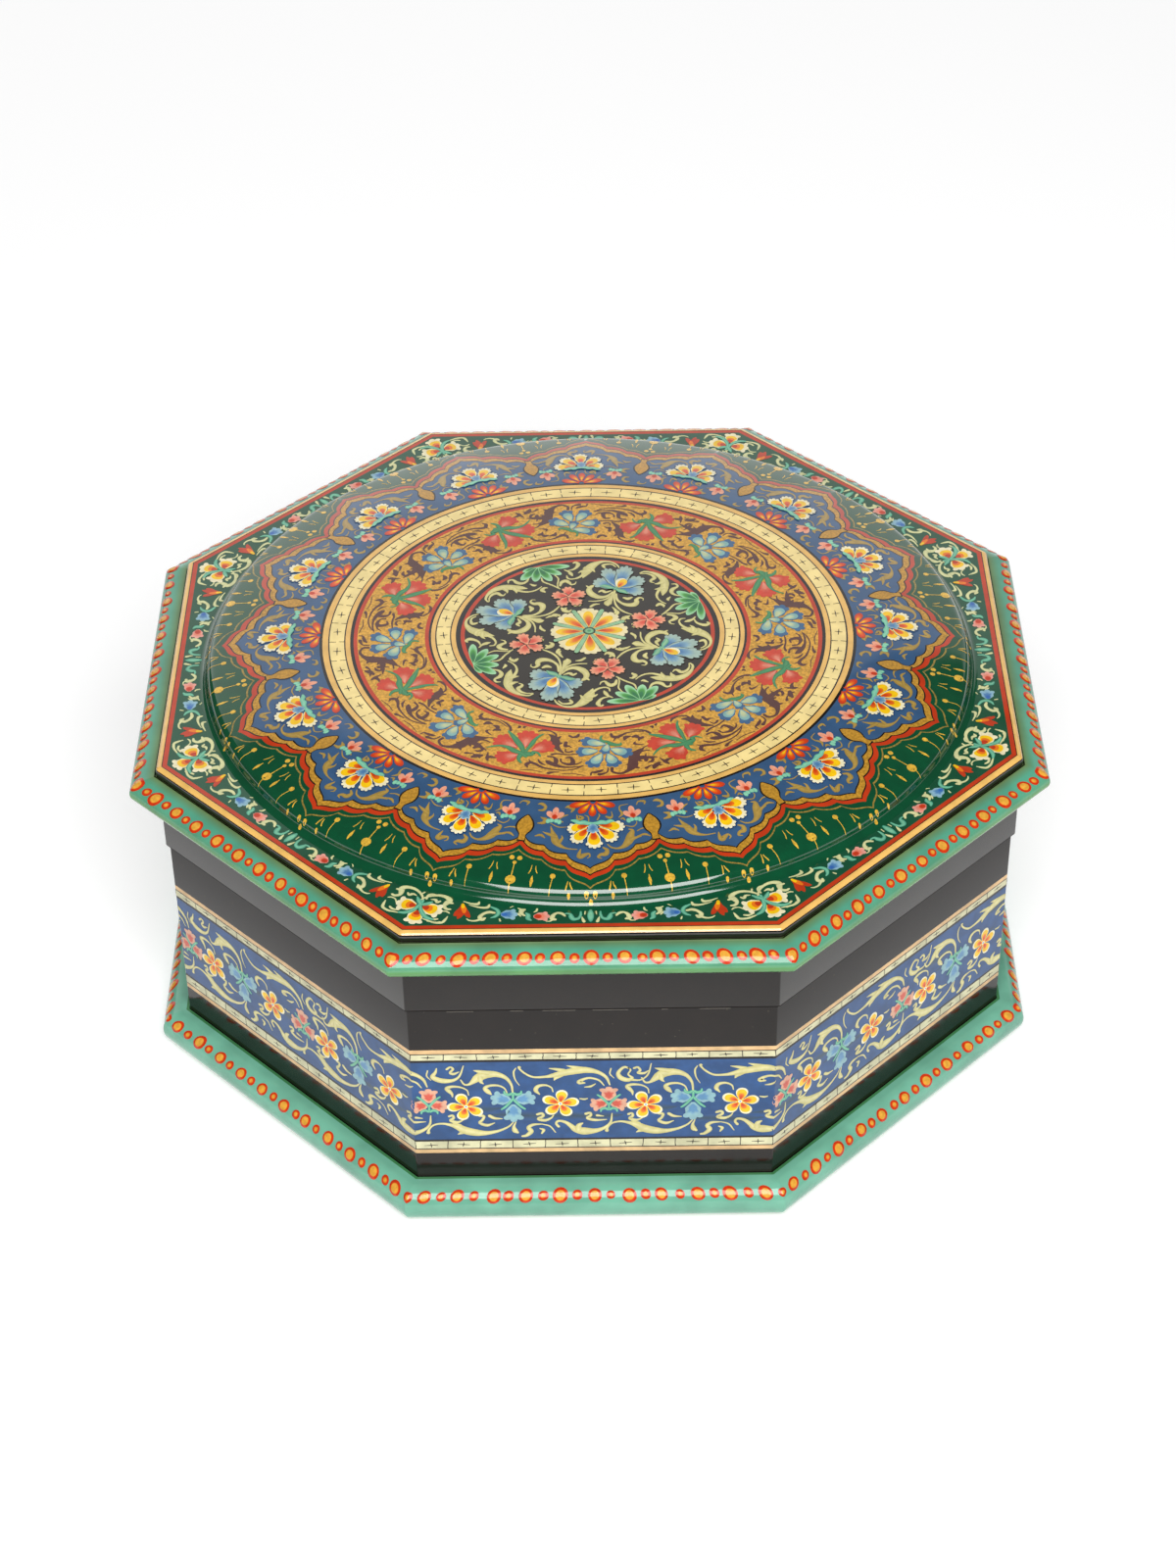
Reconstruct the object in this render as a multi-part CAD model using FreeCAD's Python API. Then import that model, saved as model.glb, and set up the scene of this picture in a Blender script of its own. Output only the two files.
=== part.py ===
import FreeCAD, Part
import math
import os

# An eight-sided lidded box of lacquered papier mache board, in millimetres.
# +Z is up, the origin is the middle of the underside, and one flat side faces -Y.
# An apothem is the distance from the upright centre line to the middle of a flat side.
# Side 1 faces -Y, and the sides are counted anticlockwise as seen from above.

# Plan of the box
side_count = 8

# Base: floor, eight walls, and the collar that the lid drops over
wall_apothem = 116.5
wall_thickness = 4.5
wall_height = 72.8
wall_top_round = 0.6
floor_thickness = 4.0
collar_thickness = 2.5
collar_rise = 7.0
collar_depth = 14.0
collar_top_round = 0.8

# Half-round moulding at the foot
foot_moulding_height = 11.2
foot_moulding_reach = 7.9

# Lid: board, eight skirt panels, and the rebated moulding round the board
lid_clearance = 0.4
skirt_proud = 0.9
skirt_height = 22.8
skirt_bottom_round = 0.6
board_thickness = 5.0
board_overhang = 0.4
board_edge_round = 1.6
board_riser = 2.8
lid_moulding_height = 8.4
lid_moulding_reach = 7.4

# Raised disc on the lid: flat top, gently falling crown, round shoulder, steep side, hollow foot
disc_radius = 109.5
disc_height = 8.0
disc_flat_radius = 72.0
disc_shoulder_round = 3.2
disc_side_length = 0.3
disc_foot_hollow = 2.3
disc_shoulder_start_tilt = 12.5
disc_side_tilt = 78.0
disc_foot_end_tilt = 8.0

# How far a cutting shape runs past what it cuts
overrun = 5.0

# Sizes that follow from the ones above
step_angle = 360.0 / side_count
mitre_slope = math.tan(math.radians(step_angle / 2))
wall_inner_apothem = wall_apothem - wall_thickness
skirt_apothem = wall_apothem + skirt_proud
skirt_inner_apothem = wall_inner_apothem + lid_clearance
board_apothem = skirt_apothem + board_overhang
board_bottom = wall_height + skirt_height
board_top = board_bottom + board_thickness
collar_inner_apothem = wall_inner_apothem - collar_thickness


def at(apothem, height):
    """A point of a section drawn through the middle of side 1."""
    return FreeCAD.Vector(0, -apothem, height)


def line(start, end):
    """A straight edge between two points."""
    return Part.LineSegment(start, end).toShape()


def arc(centre, radius, start, end):
    """A round edge about a section point; its angles run from the outward way up towards +Z."""
    points = []
    for angle in (start, (start + end) / 2, end):
        turn = math.radians(angle)
        outward = FreeCAD.Vector(0, -radius * math.cos(turn), radius * math.sin(turn))
        points.append(centre + outward)
    return Part.Arc(points[0], points[1], points[2]).toShape()


def half_oval(centre, reach, half_height):
    """The outward half of an oval about a section point, from its underside up to its top."""
    nose = centre + FreeCAD.Vector(0, -reach, 0)
    crown = centre + FreeCAD.Vector(0, 0, half_height)
    oval = Part.Ellipse(nose, crown, centre)
    return Part.ArcOfEllipse(oval, -math.pi / 2, math.pi / 2).toShape()


def mitred_side(edges, index):
    """A section run along one side of the octagon and cut at the mitre on each end."""
    section = Part.Face(Part.Wire(edges))
    box = section.BoundBox
    reach = -box.YMin + overrun
    half_width = reach * mitre_slope
    section.translate(FreeCAD.Vector(-half_width, 0, 0))
    run = section.extrude(FreeCAD.Vector(2 * half_width, 0, 0))
    bottom = box.ZMin - overrun
    corners = [
        FreeCAD.Vector(0, 0, bottom),
        FreeCAD.Vector(-half_width, -reach, bottom),
        FreeCAD.Vector(half_width, -reach, bottom),
        FreeCAD.Vector(0, 0, bottom),
    ]
    plan = Part.Face(Part.makePolygon(corners))
    wedge = plan.extrude(FreeCAD.Vector(0, 0, box.ZLength + 2 * overrun))
    solid = run.common(wedge).Solids[0]
    solid.rotate(FreeCAD.Vector(0, 0, 0), FreeCAD.Vector(0, 0, 1), step_angle * index)
    return solid


def octagon_board(apothem, bottom, thickness):
    """A flat board whose plan is the box's own octagon."""
    corner_radius = apothem * math.sqrt(1 + mitre_slope**2)
    corners = []
    for index in range(side_count + 1):
        angle = math.radians(step_angle * (index + 0.5))
        x = corner_radius * math.sin(angle)
        y = -corner_radius * math.cos(angle)
        corners.append(FreeCAD.Vector(x, y, bottom))
    plan = Part.Face(Part.makePolygon(corners))
    return plan.extrude(FreeCAD.Vector(0, 0, thickness))


def floor_board():
    """The floor, let in between the walls and flush with the underside."""
    return octagon_board(wall_inner_apothem, 0, floor_thickness)


def base_wall(index):
    """An upright wall, eased along the outer edge that meets the lid."""
    top = wall_height
    round_centre = at(wall_apothem - wall_top_round, top - wall_top_round)
    edges = [
        line(at(wall_inner_apothem, 0), at(wall_apothem, 0)),
        line(at(wall_apothem, 0), at(wall_apothem, top - wall_top_round)),
        arc(round_centre, wall_top_round, 0, 90),
        line(at(wall_apothem - wall_top_round, top), at(wall_inner_apothem, top)),
        line(at(wall_inner_apothem, top), at(wall_inner_apothem, 0)),
    ]
    return mitred_side(edges, index)


def collar_strip(index):
    """A strip glued inside a wall; it stands above the seam and its upper edges are eased."""
    bottom = wall_height - collar_depth
    top = wall_height + collar_rise
    inner, outer, ease = collar_inner_apothem, wall_inner_apothem, collar_top_round
    edges = [
        line(at(inner, bottom), at(outer, bottom)),
        line(at(outer, bottom), at(outer, top - ease)),
        arc(at(outer - ease, top - ease), ease, 0, 90),
        line(at(outer - ease, top), at(inner + ease, top)),
        arc(at(inner + ease, top - ease), ease, 90, 180),
        line(at(inner, top - ease), at(inner, bottom)),
    ]
    return mitred_side(edges, index)


def foot_moulding(index):
    """A half-round moulding glued round the foot of the walls."""
    radius = foot_moulding_height / 2
    nose = wall_apothem + foot_moulding_reach - radius
    top = foot_moulding_height
    edges = [
        line(at(wall_apothem, 0), at(nose, 0)),
        arc(at(nose, radius), radius, -90, 90),
        line(at(nose, top), at(wall_apothem, top)),
        line(at(wall_apothem, top), at(wall_apothem, 0)),
    ]
    return mitred_side(edges, index)


def lid_board():
    """The lid's top board, with its upper edge eased all round."""
    board = octagon_board(board_apothem, board_bottom, board_thickness)
    upper_edges = []
    for edge in board.Edges:
        if edge.BoundBox.ZMin > board_top - board_thickness / 2:
            upper_edges.append(edge)
    return board.makeFillet(board_edge_round, upper_edges)


def lid_skirt(index):
    """An upright panel under the lid's board that closes down over the collar."""
    bottom = wall_height
    ease = skirt_bottom_round
    edges = [
        line(at(skirt_inner_apothem, bottom), at(skirt_apothem - ease, bottom)),
        arc(at(skirt_apothem - ease, bottom + ease), ease, -90, 0),
        line(at(skirt_apothem, bottom + ease), at(skirt_apothem, board_bottom)),
        line(at(skirt_apothem, board_bottom), at(skirt_inner_apothem, board_bottom)),
        line(at(skirt_inner_apothem, board_bottom), at(skirt_inner_apothem, bottom)),
    ]
    return mitred_side(edges, index)


def lid_moulding(index):
    """A half-oval moulding whose rebate takes the board's edge, below the board's top."""
    half_height = lid_moulding_height / 2
    top = board_top - board_riser
    bottom = top - lid_moulding_height
    edges = [
        line(at(skirt_apothem, bottom), at(board_apothem, bottom)),
        half_oval(at(board_apothem, bottom + half_height), lid_moulding_reach, half_height),
        line(at(board_apothem, top), at(board_apothem, board_bottom)),
        line(at(board_apothem, board_bottom), at(skirt_apothem, board_bottom)),
        line(at(skirt_apothem, board_bottom), at(skirt_apothem, bottom)),
    ]
    return mitred_side(edges, index)


def raised_disc():
    """The disc on the lid, turned from a profile of four arcs that is built from the foot up."""
    start = math.radians(disc_shoulder_start_tilt)
    side = math.radians(disc_side_tilt)
    foot = math.radians(disc_foot_end_tilt)

    # Hollow foot, from its thin outer edge up to the steep side
    hollow_top_radius = disc_radius - disc_foot_hollow * (math.sin(side) - math.sin(foot))
    hollow_top = board_top + disc_foot_hollow * (math.cos(foot) - math.cos(side))
    hollow_radius = hollow_top_radius + disc_foot_hollow * math.sin(side)
    hollow_centre = at(hollow_radius, hollow_top + disc_foot_hollow * math.cos(side))

    # Steep side, then the shoulder that turns it over
    side_top_radius = hollow_top_radius - disc_side_length * math.cos(side)
    side_top = hollow_top + disc_side_length * math.sin(side)
    shoulder_radius = side_top_radius - disc_shoulder_round * math.sin(side)
    shoulder_height = side_top - disc_shoulder_round * math.cos(side)
    shoulder_centre = at(shoulder_radius, shoulder_height)
    crown_end_radius = shoulder_radius + disc_shoulder_round * math.sin(start)
    crown_end_height = shoulder_height + disc_shoulder_round * math.cos(start)

    # Crown, which leaves the flat top level and falls to the shoulder
    fall = board_top + disc_height - crown_end_height
    run = crown_end_radius - disc_flat_radius
    crown_round = (run**2 + fall**2) / (2 * fall)
    crown_tilt = math.degrees(2 * math.atan(fall / run))
    crown_centre = at(disc_flat_radius, board_top + disc_height - crown_round)

    shoulder_end = 90 - disc_side_tilt
    shoulder_begin = 90 - disc_shoulder_start_tilt
    profile = [
        line(at(0, board_top), at(disc_radius, board_top)),
        arc(hollow_centre, disc_foot_hollow, 270 - disc_foot_end_tilt, 270 - disc_side_tilt),
        line(at(hollow_top_radius, hollow_top), at(side_top_radius, side_top)),
        arc(shoulder_centre, disc_shoulder_round, shoulder_end, shoulder_begin),
        arc(crown_centre, crown_round, 90 - crown_tilt, 90),
        line(at(disc_flat_radius, board_top + disc_height), at(0, board_top + disc_height)),
        line(at(0, board_top + disc_height), at(0, board_top)),
    ]
    face = Part.Face(Part.Wire(profile))
    return face.revolve(FreeCAD.Vector(0, 0, 0), FreeCAD.Vector(0, 0, 1), 360)


def build_nodes():
    """Every piece of the box under its own name."""
    nodes = {
        "floor_board": floor_board(),
        "lid_board": lid_board(),
        "lid_raised_disc": raised_disc(),
    }
    side_pieces = {
        "base_wall": base_wall,
        "collar_strip": collar_strip,
        "foot_moulding": foot_moulding,
        "lid_skirt": lid_skirt,
        "lid_moulding": lid_moulding,
    }
    for name, make in side_pieces.items():
        for index in range(side_count):
            nodes[f"{name}_{index + 1}"] = make(index)
    return nodes


os.makedirs("parts", exist_ok=True)
for node_name, shape in build_nodes().items():
    shape.exportStep(f"parts/{node_name}.step")
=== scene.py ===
import math
import random

import bpy
import numpy as np
from mathutils import Matrix, Quaternion, Vector


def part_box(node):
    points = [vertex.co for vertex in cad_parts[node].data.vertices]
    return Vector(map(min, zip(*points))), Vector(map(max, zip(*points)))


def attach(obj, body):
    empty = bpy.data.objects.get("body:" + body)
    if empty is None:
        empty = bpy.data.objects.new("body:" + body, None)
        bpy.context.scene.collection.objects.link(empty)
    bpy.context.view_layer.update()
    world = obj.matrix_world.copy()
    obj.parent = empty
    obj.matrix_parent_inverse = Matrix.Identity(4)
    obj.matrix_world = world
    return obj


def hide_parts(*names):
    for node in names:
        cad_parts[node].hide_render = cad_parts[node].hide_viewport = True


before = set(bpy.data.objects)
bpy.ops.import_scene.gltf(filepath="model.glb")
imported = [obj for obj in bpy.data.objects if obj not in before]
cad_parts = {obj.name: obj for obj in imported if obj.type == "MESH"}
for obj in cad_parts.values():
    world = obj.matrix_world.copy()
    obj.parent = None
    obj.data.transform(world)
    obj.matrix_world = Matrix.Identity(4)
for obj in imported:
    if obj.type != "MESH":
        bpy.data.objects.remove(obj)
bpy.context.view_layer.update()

# Lengths are in millimetres until a mesh is built. Angles in the drawings are in degrees.
# A box side is seen from outside, and side 1 faces the camera.
MM = 0.001
SIDES = 8
STEP = 2 * math.pi / SIDES
MITRE = math.tan(STEP / 2)
UP = np.array([0.0, 0.0, 1.0])
TINY = 1e-9
hand_seed = 7
dice = random.Random(hand_seed)


def reach(node):
    """How far a piece of side 1 stands out from the upright centre line."""
    return -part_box(node)[0].y / MM


def bottom(node):
    """Height of a piece's underside."""
    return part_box(node)[0].z / MM


def top(node):
    """Height of a piece's top."""
    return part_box(node)[1].z / MM


# Sizes taken from the frame
wall_face = reach("base_wall_1")
wall_back = -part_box("base_wall_1")[1].y / MM
wall_top = top("base_wall_1")
skirt_face = reach("lid_skirt_1")
skirt_back = -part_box("lid_skirt_1")[1].y / MM
board_face = reach("lid_board")
board_low = bottom("lid_board")
board_high = top("lid_board")
disc_reach = reach("lid_raised_disc")
disc_high = top("lid_raised_disc")
wall_length = 2 * wall_face * MITRE

# Room kept under the frame's surface, so that the paint ends on it
paint_room = 0.2
skirt_room = 0.1
board_room = 0.05
moulding_room = 0.12
first_coat = 0.02
paint_step = 0.012

# Eased edges, and the rounding of the upright corners
wall_edge_round = 0.6
board_edge_round = 1.6
wall_corner_round = 0.7
board_corner_round = 1.9
moulding_corner_round = 1.6
least_corner_round = 0.08

# Outline of the raised disc, as in the frame, and the steps in which its arcs are drawn
disc_flat_radius = 72.0
shoulder_round = 3.2
side_length = 0.3
foot_hollow = 2.3
shoulder_start_tilt = 12.5
side_tilt = 78.0
foot_end_tilt = 8.0
crown_steps = 40
shoulder_steps = 24
hollow_steps = 9

# Colours of the paints, as they look on the box
PAINTS = {
    "black": "#17100c",
    "green": "#004a2b",
    "field_green": "#0d4f33",
    "blue": "#36587e",
    "frieze_blue": "#2b5184",
    "smear_blue": "#2a4558",
    "warm_black": "#231c10",
    "gold": "#c4902c",
    "band_gold": "#dba33a",
    "bright_gold": "#e9b93f",
    "dull_gold": "#9c8138",
    "red": "#c13810",
    "dot_red": "#cc3510",
    "ring_cream": "#fae196",
    "cream": "#efe3b4",
    "pale_cream": "#f4ecc6",
    "scroll_cream": "#dfd592",
    "peach": "#ecbb66",
    "wall_peach": "#dfb884",
    "line": "#1c130d",
    "yellow": "#f8c60c",
    "orange": "#ee7a12",
    "deep_orange": "#d9480f",
    "pink": "#ee9880",
    "pale_pink": "#eda393",
    "rose": "#d6432f",
    "sky": "#8fbad0",
    "mid_blue": "#4f81b3",
    "petal_blue": "#38648c",
    "petal_teal": "#82b0ac",
    "teal": "#63b99a",
    "pale_teal": "#7fc49f",
    "stem_teal": "#3f9c82",
    "leaf_tip": "#8ccc92",
    "leaf_mid": "#4a9a3c",
    "leaf_deep": "#1f7340",
    "band_leaf": "#2a7a4c",
    "band_red": "#cf3d20",
    "band_pink": "#dd7a5e",
    "maroon": "#57302a",
    "white": "#f8f4ea",
    # Greens of the mouldings: lit and shaded tones of one paint, and darker crease bands of painted shade
    "olive": "#6d8048",
    "olive_crease_shade": "#5c6f40",
    "moss": "#6f9c60",
    "grass": "#579353",
    "teal_green": "#5d9a78",
    "turquoise": "#55a084",
    "pale_turquoise": "#6fae95",
    "green_crease_shade": "#3f7a4c",
    "inner_black": "#1b1512",
    "dark_red": "#b8330f",
    "red_orange": "#dd4410",
    "red_pink": "#dd4f38",
    "salmon": "#ee8467",
    "light_salmon": "#efa07a",
    "ink": "#2a2018",
    "ink_blue": "#1b3a66",
    "bright_blue": "#3468b4",
    "pale_sky": "#a9c6d6",
    "grey_sky": "#8bb5bd",
    "blue_grey": "#7aa3b9",
    "grey_teal": "#a3bcb0",
    "dusk_blue": "#4f7fae",
    "soft_blue": "#5d90b8",
    "soft_rose": "#d05440",
    "fresh_leaf": "#8ed0ae",
    "tulip_pink": "#efa585",
    # Grey of the worn edge under the lid, which also stands in as a painted highlight of the walls' eased
    # top edge
    "edge_wear_and_highlight": "#7a746a",
    "band_cream": "#d7d3ab",
    "frieze_pink": "#dda688",
    "dust": "#77705c",
    "petal_pale": "#c3cc9c",
    "soft_gold": "#b3934a",
    "pale_leaf": "#93c293",
    "leaf_rim": "#a9dbab",
    "leaf_light": "#4a9460",
    "scroll_edge": "#c8bf74",
    "wall_cream": "#ddd59c",
    "border_edge": "#c9cd93",
    "border_cream": "#e2dfa6",
    "dot_gold": "#dfa23c",
    "dot_orange": "#d9621f",
    "dot_rim": "#c23312",
}


def light_of(code):
    """Linear colour for a colour written in hex, by the sRGB rule."""
    found = []
    for at in (1, 3, 5):
        share = int(code[at : at + 2], 16) / 255
        if share <= 0.04045:
            found.append(share / 12.92)
        else:
            found.append(((share + 0.055) / 1.055) ** 2.4)
    return np.array(found)


COLOUR = {name: light_of(code) for name, code in PAINTS.items()}


def wander(seed, size, waves=(2, 3, 5, 9)):
    """A small unevenness round the box, as a brush leaves it: a function of the angle."""
    own = random.Random(seed)
    parts = [(wave, own.uniform(0, math.tau), own.uniform(0.5, 1)) for wave in waves]

    def off(angle):
        return size * sum(part * np.sin(wave * angle + turn) for wave, turn, part in parts) / len(parts)

    return off


# Meshes


def put(name, data):
    """An object with this data, put into the scene."""
    piece = bpy.data.objects.new(name, data)
    bpy.context.scene.collection.objects.link(piece)
    return piece


def make_mesh(name, points, faces, colours, places, normals, slots=None):
    """A mesh object in metres. faces are index arrays, and the rest has a row for each corner."""
    mesh = bpy.data.meshes.new(name)
    corners = np.concatenate([part.ravel() for part in faces])
    counts = np.concatenate([np.full(len(part), part.shape[1]) for part in faces])
    starts = np.concatenate([[0], np.cumsum(counts)[:-1]])
    mesh.vertices.add(len(points))
    mesh.vertices.foreach_set("co", (points * MM).astype(np.float32).ravel())
    mesh.loops.add(len(corners))
    mesh.polygons.add(len(counts))
    mesh.polygons.foreach_set("loop_start", starts.astype(np.int32))
    mesh.loops.foreach_set("vertex_index", corners.astype(np.int32))
    if slots is not None:
        mesh.polygons.foreach_set("material_index", slots.astype(np.int32))
    mesh.update(calc_edges=True)
    paint = mesh.color_attributes.new(name="Paint", type="FLOAT_COLOR", domain="CORNER")
    shown = np.concatenate([colours, np.ones((len(colours), 1))], 1)
    paint.data.foreach_set("color", shown.astype(np.float32).ravel())
    layer = mesh.uv_layers.new(name="OFBake")
    layer.data.foreach_set("uv", places.astype(np.float32).ravel())
    mesh.polygons.foreach_set("use_smooth", np.ones(len(counts), dtype=bool))
    if normals is not None:
        mesh.normals_split_custom_set(normals.tolist())
    return put(name, mesh)


class Skin:
    """A shell swept round the box: a section that runs up the outside and then inwards over the top.

    Each loop gives the section's distance from the centre line and its height, and may vary round the box.
    """

    soft_turn = math.cos(math.radians(35))
    side_margin = 0.005
    row_margin = 0.01

    def __init__(self, hubs, ways):
        self.hubs = hubs
        self.ways = ways
        self.outs = []
        self.heights = []
        self.bands = []

    def loop(self, out, height):
        """Adds a loop of points."""
        count = len(self.ways)
        self.outs.append(np.broadcast_to(np.asarray(out, float), count))
        self.heights.append(np.broadcast_to(np.asarray(height, float), count))

    def band(self, colour, slot=0, end_colour=None):
        """Says how the strip from the last loop to the next one is painted."""
        start = COLOUR[colour] if isinstance(colour, str) else colour
        end = start if end_colour is None else end_colour
        self.bands.append((start, end, slot))

    def to(self, paint, out, height, slot=0):
        """Paints a strip from the last loop to a new one."""
        self.band(paint, slot)
        self.loop(out, height)

    def facings(self, run, rise, closed):
        """Which way each strip faces at its two edges. Strips that meet softly share a direction."""
        slope = np.stack([rise, -run], -1)
        first, last = slope.copy(), slope.copy()
        for band in range(0 if closed else 1, len(slope)):
            before = band - 1
            alike = (slope[band] * slope[before]).sum(-1) > self.soft_turn
            mean = slope[band] + slope[before]
            mean /= np.maximum(np.linalg.norm(mean, axis=-1, keepdims=True), TINY)
            first[band][alike] = mean[alike]
            last[before][alike] = mean[alike]
        faced = []
        for part in (first, last):
            faced.append(np.concatenate([self.ways[None] * part[..., :1], part[..., 1:]], 2))
        return faced

    def places(self, size):
        """Where the corners of the strips lie in the colour map."""
        columns = size.shape[1]
        climb = np.concatenate([[0], np.cumsum(size.mean(1))])
        climb = self.row_margin + (1 - 2 * self.row_margin) * climb / climb[-1]
        across = self.side_margin + (1 - 2 * self.side_margin) * np.arange(columns + 1) / columns
        lower, left = np.meshgrid(climb[:-1], across[:-1], indexing="ij")
        upper, right = np.meshgrid(climb[1:], across[1:], indexing="ij")
        return np.stack([left, lower, right, lower, right, upper, left, upper], -1).reshape(-1, 2)

    def build(self, name, core=None):
        """Makes the mesh. core is where the rounding of the corners is centred on an octagonal shell."""
        outs, heights = np.array(self.outs), np.array(self.heights)
        rows, columns = outs.shape
        round_by = outs if core is None else np.maximum(outs - core, least_corner_round)
        flat = self.hubs[None] * (outs - round_by)[..., None] + self.ways[None] * round_by[..., None]
        points = np.concatenate([flat, heights[..., None]], 2).reshape(-1, 3)
        closed = len(self.bands) == rows
        ahead = np.roll(np.arange(rows), -1) if closed else np.arange(1, rows)
        here = np.arange(len(ahead))
        run, rise = outs[ahead] - outs[here], heights[ahead] - heights[here]
        size = np.maximum(np.hypot(run, rise), TINY)
        first, last = self.facings(run / size, rise / size, closed)
        column = np.arange(columns)
        beside = np.roll(column, -1)
        low, high = here[:, None] * columns, ahead[:, None] * columns
        quads = np.stack([low + column, low + beside, high + beside, high + column], -1).reshape(-1, 4)
        normals = np.stack([first, first[:, beside], last[:, beside], last], 2).reshape(-1, 3)
        start, end, slots = (np.array(part) for part in zip(*self.bands, strict=True))
        painted = np.stack([start, start, end, end], 1)[:, None].repeat(columns, 1).reshape(-1, 3)
        return make_mesh(name, points, [quads], painted, self.places(size), normals, slots.repeat(columns))


def round_columns(angles):
    """Columns of a turned shell at these angles."""
    ways = np.stack([np.cos(angles), np.sin(angles)], 1)
    return np.zeros_like(ways), ways


def octagon_columns(runs=18, turns=6):
    """Columns of an octagonal shell: an even run along each side, and a turn at each corner."""
    hubs, ways = [], []
    for side in range(SIDES):
        turn = side * STEP
        out = np.array([math.sin(turn), -math.cos(turn)])
        along = np.array([math.cos(turn), math.sin(turn)])
        for share in np.linspace(-1, 1, runs):
            hubs.append(out + along * MITRE * share)
            ways.append(out)
        for index in range(1, turns):
            swing = turn + STEP * index / turns
            hubs.append(out + along * MITRE)
            ways.append(np.array([math.sin(swing), -math.cos(swing)]))
    return np.array(hubs), np.array(ways)


def disc_section():
    """The raised disc's outline from its middle to its foot: distance along it, radius, height, tilt."""
    start, side, foot = (math.radians(tilt) for tilt in (shoulder_start_tilt, side_tilt, foot_end_tilt))
    hollow_top = disc_reach - foot_hollow * (math.sin(side) - math.sin(foot))
    hollow_height = board_high + foot_hollow * (math.cos(foot) - math.cos(side))
    hollow_radius = hollow_top + foot_hollow * math.sin(side)
    hollow_centre = hollow_height + foot_hollow * math.cos(side)
    side_top = hollow_top - side_length * math.cos(side)
    side_height = hollow_height + side_length * math.sin(side)
    shoulder_radius = side_top - shoulder_round * math.sin(side)
    shoulder_height = side_height - shoulder_round * math.cos(side)
    run = shoulder_radius + shoulder_round * math.sin(start) - disc_flat_radius
    fall = disc_high - shoulder_height - shoulder_round * math.cos(start)
    crown = (run**2 + fall**2) / (2 * fall)
    arcs = (
        (disc_flat_radius, disc_high - crown, crown, 0, 2 * math.atan(fall / run), crown_steps),
        (shoulder_radius, shoulder_height, shoulder_round, start, side, shoulder_steps),
        (hollow_radius, hollow_centre, -foot_hollow, side, foot, hollow_steps),
    )
    rows = [(0, disc_high, 0), (disc_flat_radius, disc_high, 0)]
    for radius, height, bow, begin, end, steps in arcs:
        for tilt in np.linspace(begin, end, steps)[1:]:
            rows.append((radius + bow * math.sin(tilt), height + bow * math.cos(tilt), tilt))
    radius, height, tilt = np.array(rows).T
    radius = radius - paint_room * np.sin(tilt)
    height = height - paint_room * np.cos(tilt)
    steps = np.hypot(np.diff(radius), np.diff(height))
    return np.concatenate([[0], np.cumsum(steps)]), radius, height, tilt


DISC_WAY, DISC_RADIUS, DISC_HEIGHT, DISC_TILT = disc_section()


def disc_surface(points, rise):
    """Lifts points of the lid's plan onto the raised disc, or onto the board round it."""
    radius = np.maximum(np.hypot(points[:, 0], points[:, 1]), TINY)
    height = np.interp(radius, DISC_RADIUS, DISC_HEIGHT)
    tilt = np.interp(radius, DISC_RADIUS, DISC_TILT)
    away = points / radius[:, None]
    normal = np.concatenate([away * np.sin(tilt)[:, None], np.cos(tilt)[:, None]], 1)
    flat = np.concatenate([points, height[:, None]], 1)
    return flat + normal * rise[:, None], normal


def board_surface(points, rise):
    """Lifts points of the lid's plan onto the board."""
    height = board_high - paint_room + rise
    normal = np.repeat(UP[None], len(points), 0)
    return np.concatenate([points, height[:, None]], 1), normal


def parted(along, length):
    """Which side each distance round the box falls on, and how far it is from that side's middle."""
    sides = np.floor(along / length + 0.5)
    return sides, along - sides * length


def walls_surface(points, rise):
    """Lifts points onto the walls: distance round the box, then height."""
    sides, local = parted(points[:, 0], wall_length)
    turn = sides * STEP
    out = np.stack([np.sin(turn), -np.cos(turn), 0 * turn], 1)
    along = np.stack([np.cos(turn), np.sin(turn), 0 * turn], 1)
    face = wall_face - paint_room + rise
    local = local * face / wall_face
    return along * local[:, None] + UP * points[:, 1:] + out * face[:, None], out


# Painting: flat coloured shapes in layers. Shapes of one layer differ a little in height, so that none
# lie in one plane where they cross.
shape_turns = 8
shape_step = 0.06


def curve(points, steps=6, closed=False):
    """A smooth line through points."""
    points = np.asarray(points, float)
    if closed:
        ring = np.concatenate([points[-1:], points, points[:2]])
    else:
        ring = np.concatenate([[2 * points[0] - points[1]], points, [2 * points[-1] - points[-2]]])
    share = np.linspace(0, 1, steps, endpoint=False)[:, None]
    found = []
    for a, b, c, d in zip(ring, ring[1:], ring[2:], ring[3:], strict=False):
        square = (2 * a - 5 * b + 4 * c - d) * share**2
        cube = (3 * b - a - 3 * c + d) * share**3
        found.append(0.5 * (2 * b + (c - a) * share + square + cube))
    if not closed:
        found.append(points[-1:])
    return np.concatenate(found)


# How much closer a smooth petal's points lie towards its tip. Then a toothed petal's flanks, by their width
# and height, and how round and how deep its teeth are cut.
petal_crowding = 1.6
flank_width_share = 0.36
flank_height_share = 0.5
tooth_round = 0.7
tooth_cut_share = 0.25


def petal(length, width, belly=0.66, waist=0.1, blunt=0.55, count=11):
    """Outline of a petal that grows from the origin along +Y. belly is where it is widest."""
    share = 1 - (1 - np.linspace(0, 1, count)) ** petal_crowding
    power = math.log(0.5) / math.log(belly)
    side = np.sin(math.pi * share**power).clip(0, 1) ** blunt
    side = np.maximum(side, waist * (1 - share))
    right = np.stack([side * width / 2, share * length], 1)
    return np.concatenate([right, right[::-1][1:] * (-1, 1)])


def oval(width, height, count=18):
    """Outline of an oval about the origin."""
    swing = np.linspace(0, math.tau, count, endpoint=False)
    return np.stack([np.cos(swing) * width / 2, np.sin(swing) * height / 2], 1)


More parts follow.
